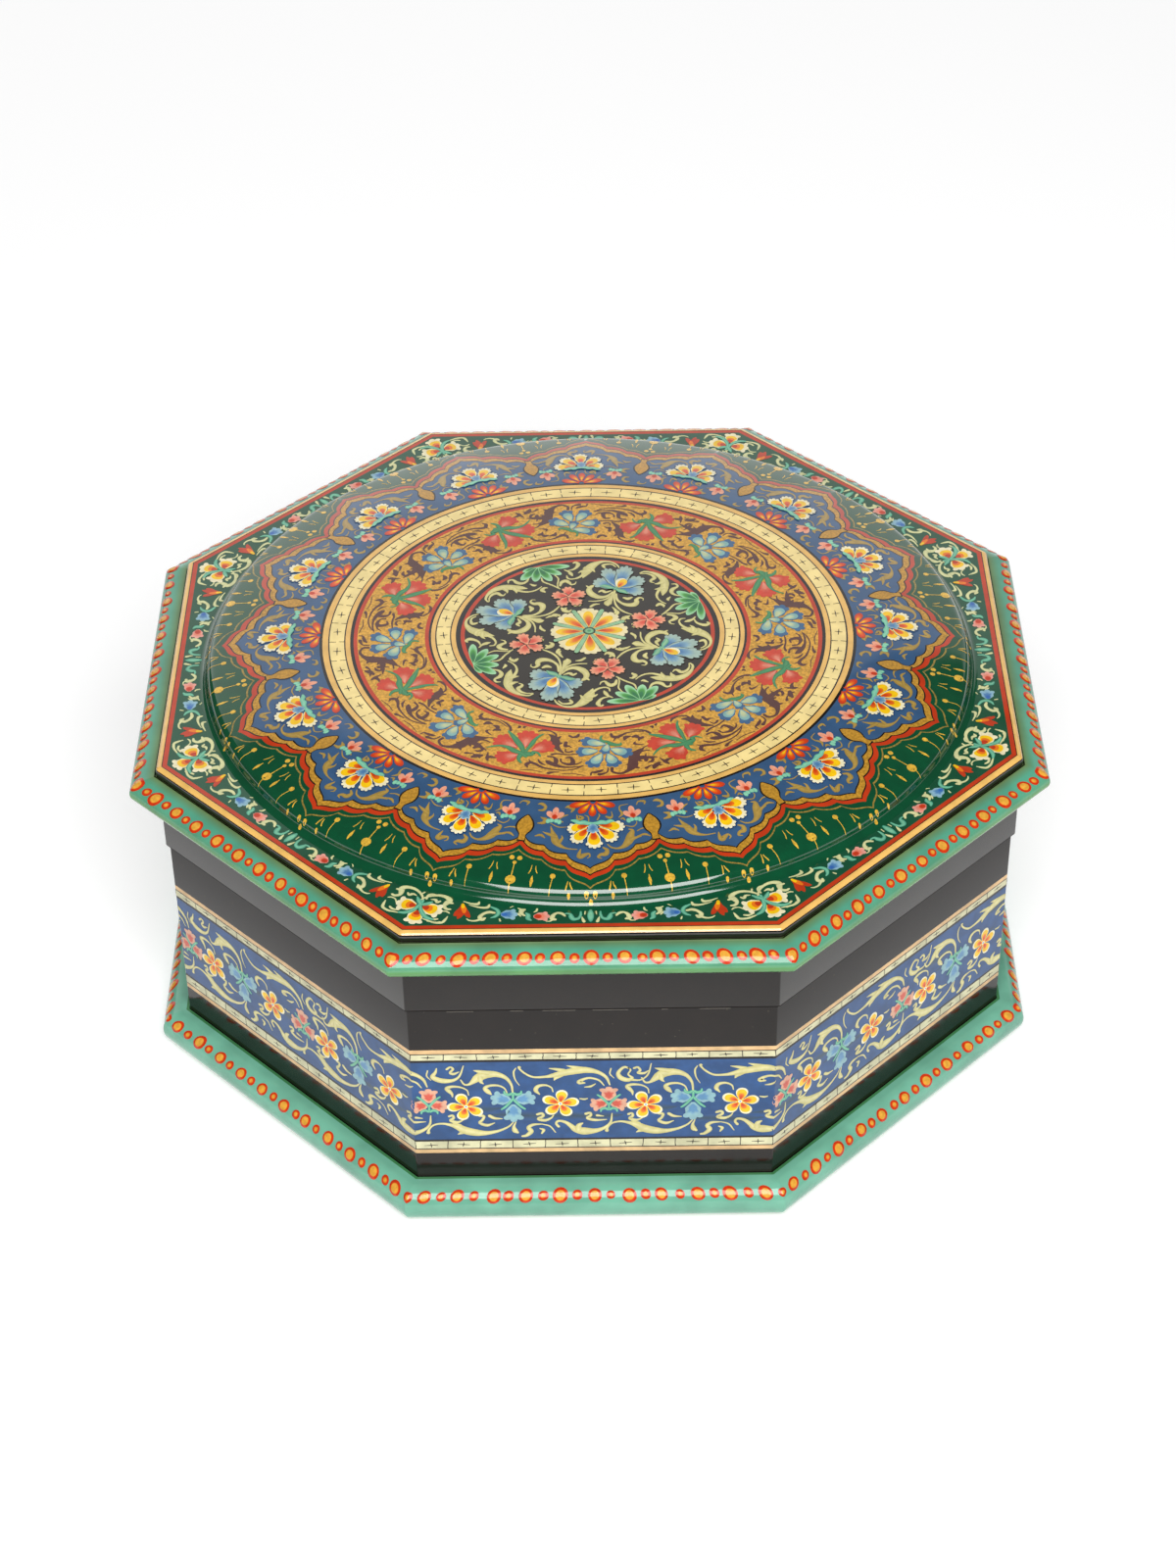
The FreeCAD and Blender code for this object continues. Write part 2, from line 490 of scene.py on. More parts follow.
def turned(points, angle):
    """Points turned anticlockwise about the origin."""
    turn = math.radians(angle)
    c, s = math.cos(turn), math.sin(turn)
    return np.asarray(points, float) @ np.array([[c, s], [-s, c]])


def outward(distance, angle):
    """The place at a distance from the origin, turned anticlockwise from +Y."""
    return turned([(0, distance)], angle)[0]


def area(outline):
    """Signed area of an outline, positive anticlockwise."""
    x, y = outline.T
    return float((x * np.roll(y, -1) - np.roll(x, -1) * y).sum() / 2)


def wedge(length, width, teeth=0, notch=0.16, waist=0.2, shoulder=0.66, count=0):
    """A petal that widens from its base to a rounded far edge, which may have teeth. It grows along +Y."""
    count = count or max(9, 5 * teeth + 1)
    swing = np.linspace(0, math.pi, count)
    bump = 1 - notch * (1 - np.abs(np.sin(teeth * swing)) ** tooth_round) if teeth else np.ones(count)
    low = length * shoulder
    rim = np.stack([np.cos(swing) * width / 2 * bump, low + (length - low) * np.sin(swing) * bump], 1)
    rim[:, 1] -= low * tooth_cut_share * (1 - np.sin(swing)) * (1 - bump)
    foot, flank = (width * waist / 2, 0.0), (width * flank_width_share, low * flank_height_share)
    return np.concatenate([[foot, flank], rim, [(-flank[0], flank[1]), (-foot[0], 0.0)]])


class Painting:
    """Coloured shapes in one plane, each on a layer of its own height.

    In the colour map each run of colours has a strip, in which points are scattered: no face is flat there.
    """

    strips = 48
    scatter = 2.4
    margin_share = 0.03
    strip_spread = 0.3
    plain_spread = 0.4

    def __init__(self):
        self.points = []
        self.layers = []
        self.colours = []
        self.places = []
        self.faces = []
        self.count = 0
        self.shapes = 0
        self.runs = {}

    def strip(self, key):
        """The strip of the colour map that a run of colours has."""
        return self.runs.setdefault(key, len(self.runs) % self.strips)

    def add(self, points, layer, colours, run, shares, faces):
        """Adds points with their colours, and the faces between them."""
        strip = self.strip(run)
        swing = np.arange(len(points)) * self.scatter
        if len(set(run)) == 1:
            shares = 0.5 + self.plain_spread * np.sin(swing)
        across = self.margin_share + (1 - 2 * self.margin_share) * shares
        up = (strip + 0.5 + self.strip_spread * np.cos(swing)) / self.strips
        self.shapes += 1
        self.points.append(points)
        self.layers.append(np.zeros(len(points)) + layer + self.shapes % shape_turns * shape_step)
        self.colours.append(colours)
        self.places.append(np.stack([across, up], 1))
        self.faces.extend(part + self.count for part in faces)
        self.count += len(points)

    def fill(self, outline, stops, layer, focus=(0, 0), dome=0):
        """A shape painted from a focus out to its outline; stops give colours by share of the way."""
        outline, focus = np.asarray(outline, float), np.asarray(focus, float)
        if isinstance(stops, str):
            stops = [(1, stops)]
        count = len(outline)
        points, colours, shares = [focus[None]], [COLOUR[stops[0][1]][None]], [np.zeros(1)]
        rings, faces = 0, []
        index = np.arange(count)
        after = (index + 1) % count
        for share, name in stops:
            if share <= 0:
                continue
            points.append(focus + (outline - focus) * share)
            colours.append(np.repeat(COLOUR[name][None], count, 0))
            shares.append(np.full(count, share))
            base = 1 + rings * count
            if rings == 0:
                faces.append(np.stack([0 * index, base + index, base + after], 1))
            else:
                inner = base - count
                faces.append(np.stack([inner + index, base + index, base + after, inner + after], 1))
            rings += 1
        if area(outline) < 0:
            faces = [part[:, ::-1] for part in faces]
        shares = np.concatenate(shares)
        heights = layer + dome * (1 - shares**2)
        run = tuple(name for _, name in stops)
        self.add(np.concatenate(points), heights, np.concatenate(colours), run, shares, faces)

    def lay(self, shape, angle, place, stops, layer, focus=0.0):
        """A shape turned to an angle and put in place, painted from a focus that far out along it."""
        self.fill(turned(shape, angle) + place, stops, layer, outward(focus, angle) + place)

    def stroke(self, line, widths, colours, layer):
        """A ribbon along a line; widths follow it, colours run from its edges to its middle."""
        edge, middle = (colours, colours) if isinstance(colours, str) else colours
        way = np.gradient(line, axis=0)
        way /= np.maximum(np.linalg.norm(way, axis=1, keepdims=True), TINY)
        half = np.stack([-way[:, 1], way[:, 0]], 1) * widths[:, None] / 2
        count = len(line)
        index = np.arange(count - 1)
        faces = []
        for base in (0, count):
            faces.append(np.stack([index, index + count, index + count + 1, index + 1], 1) + base)
        tints = np.repeat(np.stack([COLOUR[edge], COLOUR[middle], COLOUR[edge]]), count, 0)
        shares = np.repeat([0.0, 1.0, 0.0], count)
        points = np.concatenate([line + half, line, line - half])
        self.add(points, layer, tints, (edge, middle), shares, faces)

    def stamp(self, other, angle=0.0, shift=(0, 0), size=1.0, mirror=False, layer=0.0, tone=1.0):
        """Adds another painting, turned, moved, scaled or mirrored."""
        points = np.concatenate(other.points) * size
        if mirror:
            points = points * (-1, 1)
        points = turned(points, angle) + np.asarray(shift, float)
        self.shapes += 1
        self.points.append(points)
        self.layers.append(np.concatenate(other.layers) + layer + self.shapes % 2 / 2)
        self.colours.append(np.concatenate(other.colours) * tone)
        moved = {strip: self.strip(key) for key, strip in other.runs.items()}
        places = np.concatenate(other.places).copy()
        old = np.floor(places[:, 1] * self.strips).astype(int)
        move = np.array([moved.get(strip, strip) - strip for strip in range(self.strips)])
        places[:, 1] += move[old] / self.strips
        self.places.append(places)
        for part in other.faces:
            self.faces.append((part[:, ::-1] if mirror else part) + self.count)
        self.count += len(points)

    def build(self, name, lift, body, material, slot="painted_ornament", smooth=False):
        """Lifts the shapes onto a surface and makes the mesh."""
        points = np.concatenate(self.points)
        rise = first_coat + np.concatenate(self.layers) * paint_step
        places, normals = lift(points, rise)
        triangles = [part for part in self.faces if part.shape[1] == 3]
        quads = [part for part in self.faces if part.shape[1] == 4]
        faces = [np.concatenate(group) for group in (triangles, quads) if group]
        corners = np.concatenate([part.ravel() for part in faces])
        colours = np.concatenate(self.colours)[corners]
        marks = np.concatenate(self.places)[corners]
        piece = make_mesh(name, places, faces, colours, marks, None if smooth else normals[corners])
        return dress(piece, body, slot, material)


def dress(piece, body, slot, *materials):
    """Gives a piece its materials and the body it rides on; its slot is not used."""
    for material in materials:
        piece.data.materials.append(material)
    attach(piece, body)
    return piece


# Strokes of the brush: the least width, and the reach and width of the rounded ends, as shares of the width
least_width = 0.14
cap_reach_shares = (0.28, 0.45)
cap_width_shares = np.array([0.25, 0.75])


def brush(art, points, colour, layer=1, steps=5):
    """A stroke through points that each give x, y and the width there, with rounded ends."""
    rows = curve(points, steps)
    widths = np.maximum(rows[:, 2], least_width)
    line = rows[:, :2]

    def cap(end, inner, width):
        way = (end - inner) / max(float(np.linalg.norm(end - inner)), TINY)
        return np.array([end + way * width * share for share in cap_reach_shares])

    head = cap(line[0], line[1], widths[0])[::-1]
    tail = cap(line[-1], line[-2], widths[-1])
    line = np.concatenate([head, line, tail])
    widths = np.concatenate([cap_width_shares * widths[0], widths, cap_width_shares[::-1] * widths[-1]])
    art.stroke(line, widths, colour, layer)


# Strokes in the tables give x, y and the width in tenths of a millimetre, but for the frieze's own grid
tenths = 10


def brushes(art, colour, layer, strokes):
    """Strokes of one paint from a table."""
    for points in strokes:
        brush(art, np.array(points) / tenths, colour, layer)


def dot(art, x, y, size, colour, layer=1, tall=1.0, count=12):
    """A round touch of the brush."""
    art.fill(oval(size, size * tall, count) + (x, y), colour, layer, (x, y))


# How far a dark outline stands out round a petal, and where its paint starts, as a share of its length
petal_rim_length = 0.3
petal_rim_width = 0.55
petal_focus_share = 0.18


def flower_petal(art, place, angle, length, width, coats, teeth, notch, layer, waist, outline=None):
    """A petal in coats of paint: each coat has its share of the length and width, and its run of colour."""
    for index, (long_share, wide_share, stops) in enumerate(coats):
        cut = teeth if index == 0 else 0
        shape = wedge(length * long_share, width * wide_share, cut, notch, waist)
        if index == 0 and outline:
            grown = wedge(length + petal_rim_length, width + petal_rim_width, cut, notch, waist)
            art.lay(grown, angle, place, outline, layer - 1, length / 2)
        art.lay(shape, angle, place, stops, layer + index, length * long_share * petal_focus_share)


# Materials


def feed(tree, made, inputs):
    """Gives inputs of a shader node their values, or the outputs that drive them."""
    for name, value in inputs.items():
        if isinstance(value, bpy.types.NodeSocket):
            tree.links.new(value, made.inputs[name])
        else:
            made.inputs[name].default_value = value


def add_node(tree, kind, inputs=None, **settings):
    """A shader node with its settings and inputs."""
    made = tree.nodes.new(kind)
    for name, value in settings.items():
        setattr(made, name, value)
    feed(tree, made, inputs or {})
    return made


def speckle(tree, scale, low, high, detail=2.0, spots=(0.35, 0.65)):
    """A soft mottle between two values, in the object's own space."""
    where = add_node(tree, "ShaderNodeTexCoord")
    grain = {"Vector": where.outputs["Object"], "Scale": scale, "Detail": detail}
    noise = add_node(tree, "ShaderNodeTexNoise", grain)
    span = {"From Min": spots[0], "From Max": spots[1], "To Min": low, "To Max": high}
    ranged = add_node(tree, "ShaderNodeMapRange", {"Value": noise.outputs[0], **span})
    return ranged.outputs["Result"]


# Grain of the uneven gloss and of the ripples in the lacquer, for each metre
gloss_grain = 60.0
ripple_grain = 45.0


def new_material(name):
    """A material with its nodes: their tree and the shader in it."""
    material = bpy.data.materials.new(name)
    material.use_nodes = True
    return material, material.node_tree, material.node_tree.nodes["Principled BSDF"]


def lacquer(name, gloss=0.09, mottle=(0.9, 1.06), grain=220.0, wave=0.0, uneven=None, metal=0.0, shine=1.5):
    """Paint under clear lacquer; its colour is what the brush left, a little uneven, with painted shade and
    highlight where the meshes carry them.
    """
    material, tree, shader = new_material(name)
    paint = add_node(tree, "ShaderNodeVertexColor", layer_name="Paint")
    tints = {"Factor": 1.0, "A": paint.outputs["Color"], "B": speckle(tree, grain, *mottle)}
    mixed = add_node(tree, "ShaderNodeMix", tints, data_type="RGBA", blend_type="MULTIPLY")
    feed(tree, shader, {"Base Color": mixed.outputs["Result"], "Roughness": gloss})
    feed(tree, shader, {"Metallic": metal, "IOR": shine})
    if uneven:
        feed(tree, shader, {"Roughness": speckle(tree, gloss_grain, *uneven)})
    if wave:
        ripple = speckle(tree, ripple_grain, 0.0, 1.0, 1.0, (0.2, 0.8))
        bump = add_node(tree, "ShaderNodeBump", {"Distance": wave * MM, "Height": ripple})
        feed(tree, shader, {"Normal": bump.outputs["Normal"]})
    return material


lid_shine = 1.75
wall_shine = 1.43
lid_lacquer = lacquer("lid_lacquer", uneven=(0.05, 0.12), wave=0.02, shine=lid_shine)
ornament_paint = lacquer("ornament_paint", gloss=0.1, grain=500.0, shine=lid_shine)
gold_paint = lacquer("gold_paint", 0.2, (0.68, 1.24), 1500.0, metal=0.1, shine=lid_shine)
gold_leaf = lacquer("gold_leaf", 0.2, (0.75, 1.15), 1500.0, metal=0.1, shine=lid_shine)
dot_paint = lacquer("dot_paint", 0.15, (0.85, 1.1), 900.0)
wall_paint = lacquer("wall_paint", gloss=0.1, grain=500.0)
wall_lacquer = lacquer("wall_lacquer", 0.12, (0.8, 1.1), wave=0.05, uneven=(0.08, 0.17), shine=wall_shine)
moulding_lacquer = lacquer("moulding_lacquer", 0.09, (0.86, 1.08), 90.0, wave=0.05, uneven=(0.06, 0.16))
seam_shadow = lacquer("seam_shadow", 0.6, (0.7, 1.1), shine=1.05)
inner_gloss = (0.28, 0.5)
inner_tones = (0.7, 1.5)
inner_grain = 180.0
inner_lacquer = lacquer("inner_lacquer", 0.35, (0.7, 1.2), wave=0.08, uneven=inner_gloss)

# Rings painted on the disc, from the middle outwards: outer radius and paint
ring_paints = [
    (34.6, "warm_black"),
    (35.7, "red"),
    (37.1, "black"),
    (38.4, "peach"),
    (38.75, "line"),
    (42.5, "ring_cream"),
    (42.9, "line"),
    (44.05, "peach"),
    (44.7, "black"),
    (45.8, "red"),
    (64.7, "band_gold"),
    (65.8, "red"),
    (66.75, "black"),
    (68.05, "peach"),
    (68.4, "line"),
    (72.5, "ring_cream"),
    (72.9, "line"),
    (74.5, "peach"),
    (75.3, "black"),
]

# How unevenly a ring's edge is painted: a thin dark line's, and any other's
line_wander = 0.06
ring_wander = 0.1

# The medallion's scalloped edges: tip, two cusps and valley of each, as radii
lobes = 16
half_lobe = math.pi / lobes
first_cusp_share = 0.33
second_cusp_share = 0.66
blue_edge = (99.5, 94.7, 92.1, 88.5)
gold_edge = (101.8, 97.0, 94.2, 90.7)
red_edge = (103.3, 98.8, 95.9, 92.6)
thread_edge = (105.8, 100.3, 97.2, 94.5)
outline_width = 0.42
thread_width = 0.5
tip_angle = -math.pi / 2

# How full the arcs between the cusps are, and how the tip swells, slopes and ends in a point
blue_fullness = 3.5
gold_fullness = 2.6
thread_fullness = 2.2
swell_share, swell_power = 0.45, 5
slope_share = 0.38
point_share, point_power = 0.17, 6
medallion_wander = wander(31, 0.25)

# Steps of the disc's mesh, from its first loop, close round the middle. The green's own steps end at its
# reach, and the rows of the disc's outline follow from the shoulder's reach out. under_disc is how far the
# skin runs in below the foot.
disc_middle = 0.4
gold_parts = 3
lobe_parts = 8
blue_parts = 6
green_parts = 12
green_ease = 1.7
green_reach = 106.6
shoulder_reach = 106.7
under_disc = 6
share_digits = 9


def scallop(edge, angles, power):
    """Radius of a scalloped edge at each angle."""
    tip, outer, inner, valley = edge
    off = np.abs((angles - tip_angle + half_lobe) % (2 * half_lobe) - half_lobe) / half_lobe
    up = 1 - off / first_cusp_share
    swell = swell_share * (1 - (1 - up.clip(0, 1)) ** swell_power)
    ogee = swell + slope_share * up + point_share * up.clip(0, 1) ** point_power
    middle = 1 - (off - first_cusp_share) / (second_cusp_share - first_cusp_share)
    low = 1 - (off - second_cusp_share) / (1 - second_cusp_share)

    def bulge(share):
        return 1 - (1 - share.clip(0, 1)) ** power

    return np.select(
        [off < first_cusp_share, off < second_cusp_share],
        [outer + (tip - outer) * ogee, inner + (outer - inner) * bulge(middle)],
        valley + (inner - valley) * bulge(low),
    )


def lobe_columns():
    """Angles of the disc's columns: they meet every tip, cusp and valley."""
    stops = (0, first_cusp_share, second_cusp_share, 1)
    parts = np.arange(lobe_parts) / lobe_parts
    shares = [high - (high - low) * (1 - parts) for low, high in zip(stops, stops[1:], strict=False)]
    shares = np.concatenate(shares)
    whole = np.unique(np.round(np.concatenate([shares, [1.0], 2 - shares[1:]]), share_digits))
    return np.concatenate([tip_angle + (2 * lobe + whole) * half_lobe for lobe in range(lobes)])


def lid_disc():
    """The raised disc with its rings and its medallion ground."""
    angles = lobe_columns()
    loops = [(np.full_like(angles, disc_middle), "warm_black", 0)]

    def until(radius, paint, parts=1, slot=0, ease=1.0):
        """Carries the paint out to a radius."""
        inner = loops[-1][0]
        way = np.interp(radius, DISC_RADIUS, DISC_WAY)
        for index in range(1, parts + 1):
            share = 1 - (1 - index / parts) ** ease
            loops.append((inner + (way - inner) * share, paint, slot))

    for index, (radius, paint) in enumerate(ring_paints):
        gold = int(paint == "band_gold")
        width = line_wander if paint in ("line", "black") else ring_wander
        until(radius + wander(index, width)(angles), paint, gold_parts if gold else 1, gold)
    shake = medallion_wander(angles)
    blue = scallop(blue_edge, angles, blue_fullness) + shake
    gold = scallop(gold_edge, angles, gold_fullness) + shake
    until(blue - outline_width / 2, "blue", blue_parts)
    until(blue + outline_width / 2, "line")
    until(gold - outline_width / 2, "gold", 1, 1)
    until(gold + outline_width / 2, "line")
    until(scallop(red_edge, angles, gold_fullness) + shake, "red")
    thread = scallop(thread_edge, angles, thread_fullness) + shake
    until(thread - thread_width / 2, "green")
    until(thread + thread_width / 2, "dull_gold", 1, 1)
    until(green_reach, "green", green_parts, 0, green_ease)
    loops.extend((way, "green", 0) for way in DISC_WAY[DISC_RADIUS > shoulder_reach])
    skin = Skin(*round_columns(angles))
    skin.loop(disc_reach - under_disc, board_high - paint_room)
    skin.band("green")
    for way, paint, slot in reversed(loops):
        skin.loop(np.interp(way, DISC_WAY, DISC_RADIUS), np.interp(way, DISC_WAY, DISC_HEIGHT))
        skin.band(paint, slot)
    skin.bands.pop()
    piece = skin.build("lid_disc")
    dress(piece, "lid", "lid_lacquer", lid_lacquer, gold_paint)
    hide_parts("lid_raised_disc")


# Bands painted on the board from its rounded edge inwards: paint, and how far in it goes, at last close to
# the middle. Below its angle the rounded edge is black, and above it peach.
board_middle = 0.5
board_paints = [("peach", 116.05), ("line", 115.8), ("red", 114.55), ("field_green", board_middle)]
board_edge_angles = (12, 24, 36, 50, 63, 76, 90)
peach_start = 36


def lid_board():
    """The board under the disc, with its painted border and black edge."""
    skin = Skin(*octagon_columns())
    high = board_high - paint_room
    face = board_face - board_room
    ease = board_edge_round
    skin.loop(board_middle, board_low)
    skin.to("inner_black", face, board_low, 1)
    skin.to("black", face, high - ease)
    for angle in board_edge_angles:
        turn = math.radians(angle)
        paint = "black" if angle <= peach_start else "peach"
        skin.to(paint, face - ease + ease * math.cos(turn), high - ease * (1 - math.sin(turn)))
    for paint, radius in board_paints:
        skin.to(paint, radius, high)
    piece = skin.build("lid_board_painted", core=face - board_corner_round)
    dress(piece, "lid", "lid_lacquer", lid_lacquer, inner_lacquer)
    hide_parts("lid_board")


# Paint round each moulding's section, by how far it faces up: lit and shaded tones of its green, with
# painted shade where it faces down and, on the lid's, olive painted shade at the top
lid_moulding_shaded_paints = [
    (-90, "moss"),
    (-35, "grass"),
    (0, "grass"),
    (25, "teal_green"),
    (55, "turquoise"),
    (75, "turquoise"),
    (90, "olive"),
]
foot_moulding_shaded_paints = [
    (-90, "grass"),
    (-60, "grass"),
    (-30, "pale_turquoise"),
    (90, "pale_turquoise"),
]
# Width of the darker band of painted shade in the crease where a moulding meets the box
moulding_crease_shade_width = 0.8
moulding_columns = 24
moulding_steps = 25


class Bead:
    """The outward half of a moulding's section: an oval about a start, or else a round one at its nose."""

    def __init__(self, nodes, start=None):
        self.low, self.high = bottom(nodes[0]), top(nodes[0])
        self.rise = (self.high - self.low) / 2
        self.start = start or reach(nodes[0]) - self.rise
        self.out = reach(nodes[0]) - self.start
        self.middle = self.low + self.rise

    def at(self, angle, lift=0.0):
        """Point and outward direction of the section at a share of its turn, lifted off it."""
        across, up = self.out * np.cos(angle), self.rise * np.sin(angle)
        facing = np.stack([np.cos(angle) / self.out, np.sin(angle) / self.rise], -1)
        facing /= np.linalg.norm(facing, axis=-1, keepdims=True)
        return self.start + across + facing[..., 0] * lift, self.middle + up + facing[..., 1] * lift, facing

    def angle_of(self, tilt):
        """Share of the turn at which the section faces up by this tilt."""
        return math.atan2(self.rise * math.sin(tilt), self.out * math.cos(tilt))


def moulding(name, body, nodes, bead, inner, stops, edge):
    """A moulding that runs round the box, its paint shaded by how far it faces up, with a darker band of
    painted shade where it meets the box.
    """
    skin = Skin(*octagon_columns(moulding_columns))
    tilts = np.linspace(-90, 90, moulding_steps)
    stop_tilts = [tilt for tilt, _ in stops]
    stop_colours = np.array([COLOUR[paint] for _, paint in stops])

    # Colour at a tilt, with the painted shade of the section's facing
    def tint(tilt):
        return np.array([np.interp(tilt, stop_tilts, stop_colours[:, axis]) for axis in range(3)])

    skin.loop(inner, bead.low)
    skin.band(stops[0][1])
    for tilt, after in zip(tilts, [*tilts[1:], tilts[-1]], strict=True):
        out, height, _ = bead.at(bead.angle_of(math.radians(tilt)), -moulding_room)
        skin.loop(out, height)
        skin.band(tint(tilt), 0, tint(after))
    # The darker band of painted shade in the crease where the moulding meets the box
    for out in (inner + moulding_crease_shade_width, inner):
        skin.loop(out, bead.high - moulding_room)
        skin.band(edge)
    piece = skin.build(name, core=bead.start + bead.out - moulding_corner_round)
    dress(piece, body, "moulding_lacquer", moulding_lacquer)
    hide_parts(*nodes)


def side_nodes(stem):
    """Names of the eight pieces that share a stem."""
    return [f"{stem}_{index + 1}" for index in range(SIDES)]


# Bands painted round the walls, from the foot up: upper edge and paint
wall_paints = [
    (20.05, "black"),
    (21.4, "wall_peach"),
    (21.75, "line"),
    (24.4, "band_cream"),
    (25.1, "black"),
    (53.7, "frieze_blue"),
    (54.5, "black"),
    (56.5, "band_cream"),
    (56.85, "line"),
    (58.25, "wall_peach"),
]
edge_angles = (0, 30, 60, 90)


def eased(face, edge, way, angle):
    """A point of a panel's rounded outer edge; way is 1 where the panel stands above it, else -1."""
    turn = math.radians(angle)
    ease = wall_edge_round
    return face - ease * (1 - math.cos(turn)), edge + way * ease * (1 - math.sin(turn))


def wall_shell():
    """The eight walls with their painted bands."""
    skin = Skin(*octagon_columns())
    face = wall_face - paint_room
    skin.loop(wall_back, 0)
    skin.to("black", face, 0)
    for height, paint in wall_paints:
        skin.to(paint, face, height)
    for angle in edge_angles:
        skin.to("black", *eased(face, wall_top, -1, angle))
    skin.to("black", wall_back, wall_top)
    skin.band("inner_black")
    piece = skin.build("base_walls", core=face - wall_corner_round)
    dress(piece, "base", "wall_lacquer", wall_lacquer)
    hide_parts(*side_nodes("base_wall"))


def skirt_shell():
    """The eight black panels under the lid's board."""
    skin = Skin(*octagon_columns())
    face = skirt_face - skirt_room
    skin.loop(skirt_back, wall_top)
    for angle in reversed(edge_angles):
        skin.to("black", *eased(face, wall_top, 1, angle), 1)
    skin.to("black", face, board_low)
    skin.to("black", skirt_back, board_low)
    skin.band("inner_black")
    piece = skin.build("lid_skirts", core=face - wall_corner_round)
    dress(piece, "lid", "wall_lacquer", wall_lacquer, seam_shadow)
    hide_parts(*side_nodes("lid_skirt"))


def inner_pieces():
    """The floor and the collar keep their shapes and get the inner lacquer."""
    plain, tree, shader = new_material("inner_satin")
    dark, light = (COLOUR["inner_black"] * tone for tone in inner_tones)
    tones = {"A": (*dark, 1), "B": (*light, 1), "Factor": speckle(tree, inner_grain, 0.0, 1.0)}
    mixed = add_node(tree, "ShaderNodeMix", tones, data_type="RGBA")
    gloss = speckle(tree, gloss_grain, *inner_gloss)
    feed(tree, shader, {"Base Color": mixed.outputs["Result"], "Roughness": gloss})
    for node in ["floor_board"] + side_nodes("collar_strip"):
        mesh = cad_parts[node].data
        mesh.materials.clear()
        mesh.materials.append(plain)


def unrolled(art, radius):
    """Bends a painting made of arc lengths at this radius and of radii into the lid's plan."""
    bent = []
    for points in art.points:
        angle = points[:, 0] / radius
        bent.append(np.stack([points[:, 1] * np.sin(angle), points[:, 1] * np.cos(angle)], 1))
    art.points = bent
    return art


# How much the tone of one repeat differs from the next one's
tone_spread = 0.04


def place_round(art, motif, count, first=-90.0, shake=0.3):
    """Stamps a motif round the lid: its +Y runs outwards and its +X anticlockwise."""
    for index in range(count):
        angle = first + 360 / count * index - 90 + dice.gauss(0, shake)
        art.stamp(motif, angle, mirror=True, tone=1 + dice.uniform(-tone_spread, tone_spread))


# Medallion: a flower, half a sunburst, two tulips and gold scrolls in each lobe

# The flower: angle, length and width of each petal, and how far out it starts
lobe_petals = [
    (72, 7.4, 4.1, 1.4),
    (-79, 9.0, 4.4, 1.7),
    (38, 8.7, 4.2, 2.4),
    (-43, 8.9, 4.4, 2.4),
    (-2, 9.1, 4.6, 2.8),
]
lobe_coats = [
    (1.0, 1.0, [(0.5, "cream"), (1, "pale_cream")]),
    (0.8, 0.7, [(0.6, "yellow"), (1, "yellow")]),
    (0.52, 0.42, [(0, "dark_red"), (0.5, "deep_orange"), (1, "orange")]),
]
lobe_heart = [(0.3, "dusk_blue"), (0.75, "blue_grey"), (1, "pale_sky")]
lobe_leaves = [
    [(6, 839, 6), (-6, 840, 13), (-18, 837, 16), (-30, 838, 13), (-42, 832, 13), (-52, 830, 7)],
    [(8, 839, 6), (20, 840, 13), (32, 837, 16), (44, 839, 13), (56, 834, 12), (65, 834, 6)],
]


def lobe_flower(art):
    """Five cream petals with red flames, a blue heart and a pair of teal leaves."""
    base = np.array([0.7, 84.0])
    for index, (angle, length, width, off) in enumerate(lobe_petals):
        place = base + outward(off, angle)
        layer = 3 + 4 * index
        flower_petal(art, place, angle, length - off, width, lobe_coats, 5, 0.24, layer, 0.24, "ink_blue")
    heart = wedge(3.7, 3.8, teeth=3, notch=0.34, waist=0.1, shoulder=0.6)
    art.fill(heart + base, lobe_heart, 23, base + (0, 1.6))
    brushes(art, ("teal", "fresh_leaf"), 24, lobe_leaves)


# The sunburst: angle and length of each ray
sun_rays = [(75, 6.6), (-73, 6.2), (43, 5.4), (-37, 5.4), (3, 5.0)]
sun_run = [(0, "yellow"), (0.2, "yellow"), (0.42, "orange"), (0.7, "red_orange"), (1, "red")]


def sunburst(art):
    """Half a sunburst that stands on the medallion's inner edge."""
    base = np.array([0.9, 75.3])
    for angle, length in sun_rays:
        place = base + outward(0.9, angle)
        shape = petal(length, 2.3, belly=0.68, waist=0.4)
        art.lay(shape, angle, place, sun_run, 5, length * 0.3)


# The tulips: angle and length of each petal, and its colours
tulip_petals = [(42, 3.6), (-42, 3.6), (0, 4.6)]
tulip_run = [(0.3, "salmon"), (0.6, "tulip_pink"), (1, "tulip_pink")]
tulip_leaf = [(0.6, "fresh_leaf"), (1, "teal")]


def tulip(art, x, y, turn):
    """A small drooping tulip, its leaves at the top."""
    small = Painting()
    for angle, length in tulip_petals:
        shape = wedge(length, 1.9, waist=0.3, shoulder=0.62, count=7)
        small.fill(turned(shape, angle), tulip_run, 1, (0, 1.4))
    dot(small, 0, 0.8, 1.7, [(0.5, "red"), (1, "soft_rose")], 2, 1.15)
    for side in (1, -1):
        dot(small, side * 0.7, -0.7, 1.5, tulip_leaf, 2, 1.0)
        dot(small, side * 1.6, -1.0, 1.3, tulip_leaf, 2, 1.4)
    art.stamp(small, 180 + turn, (x, y), layer=2)


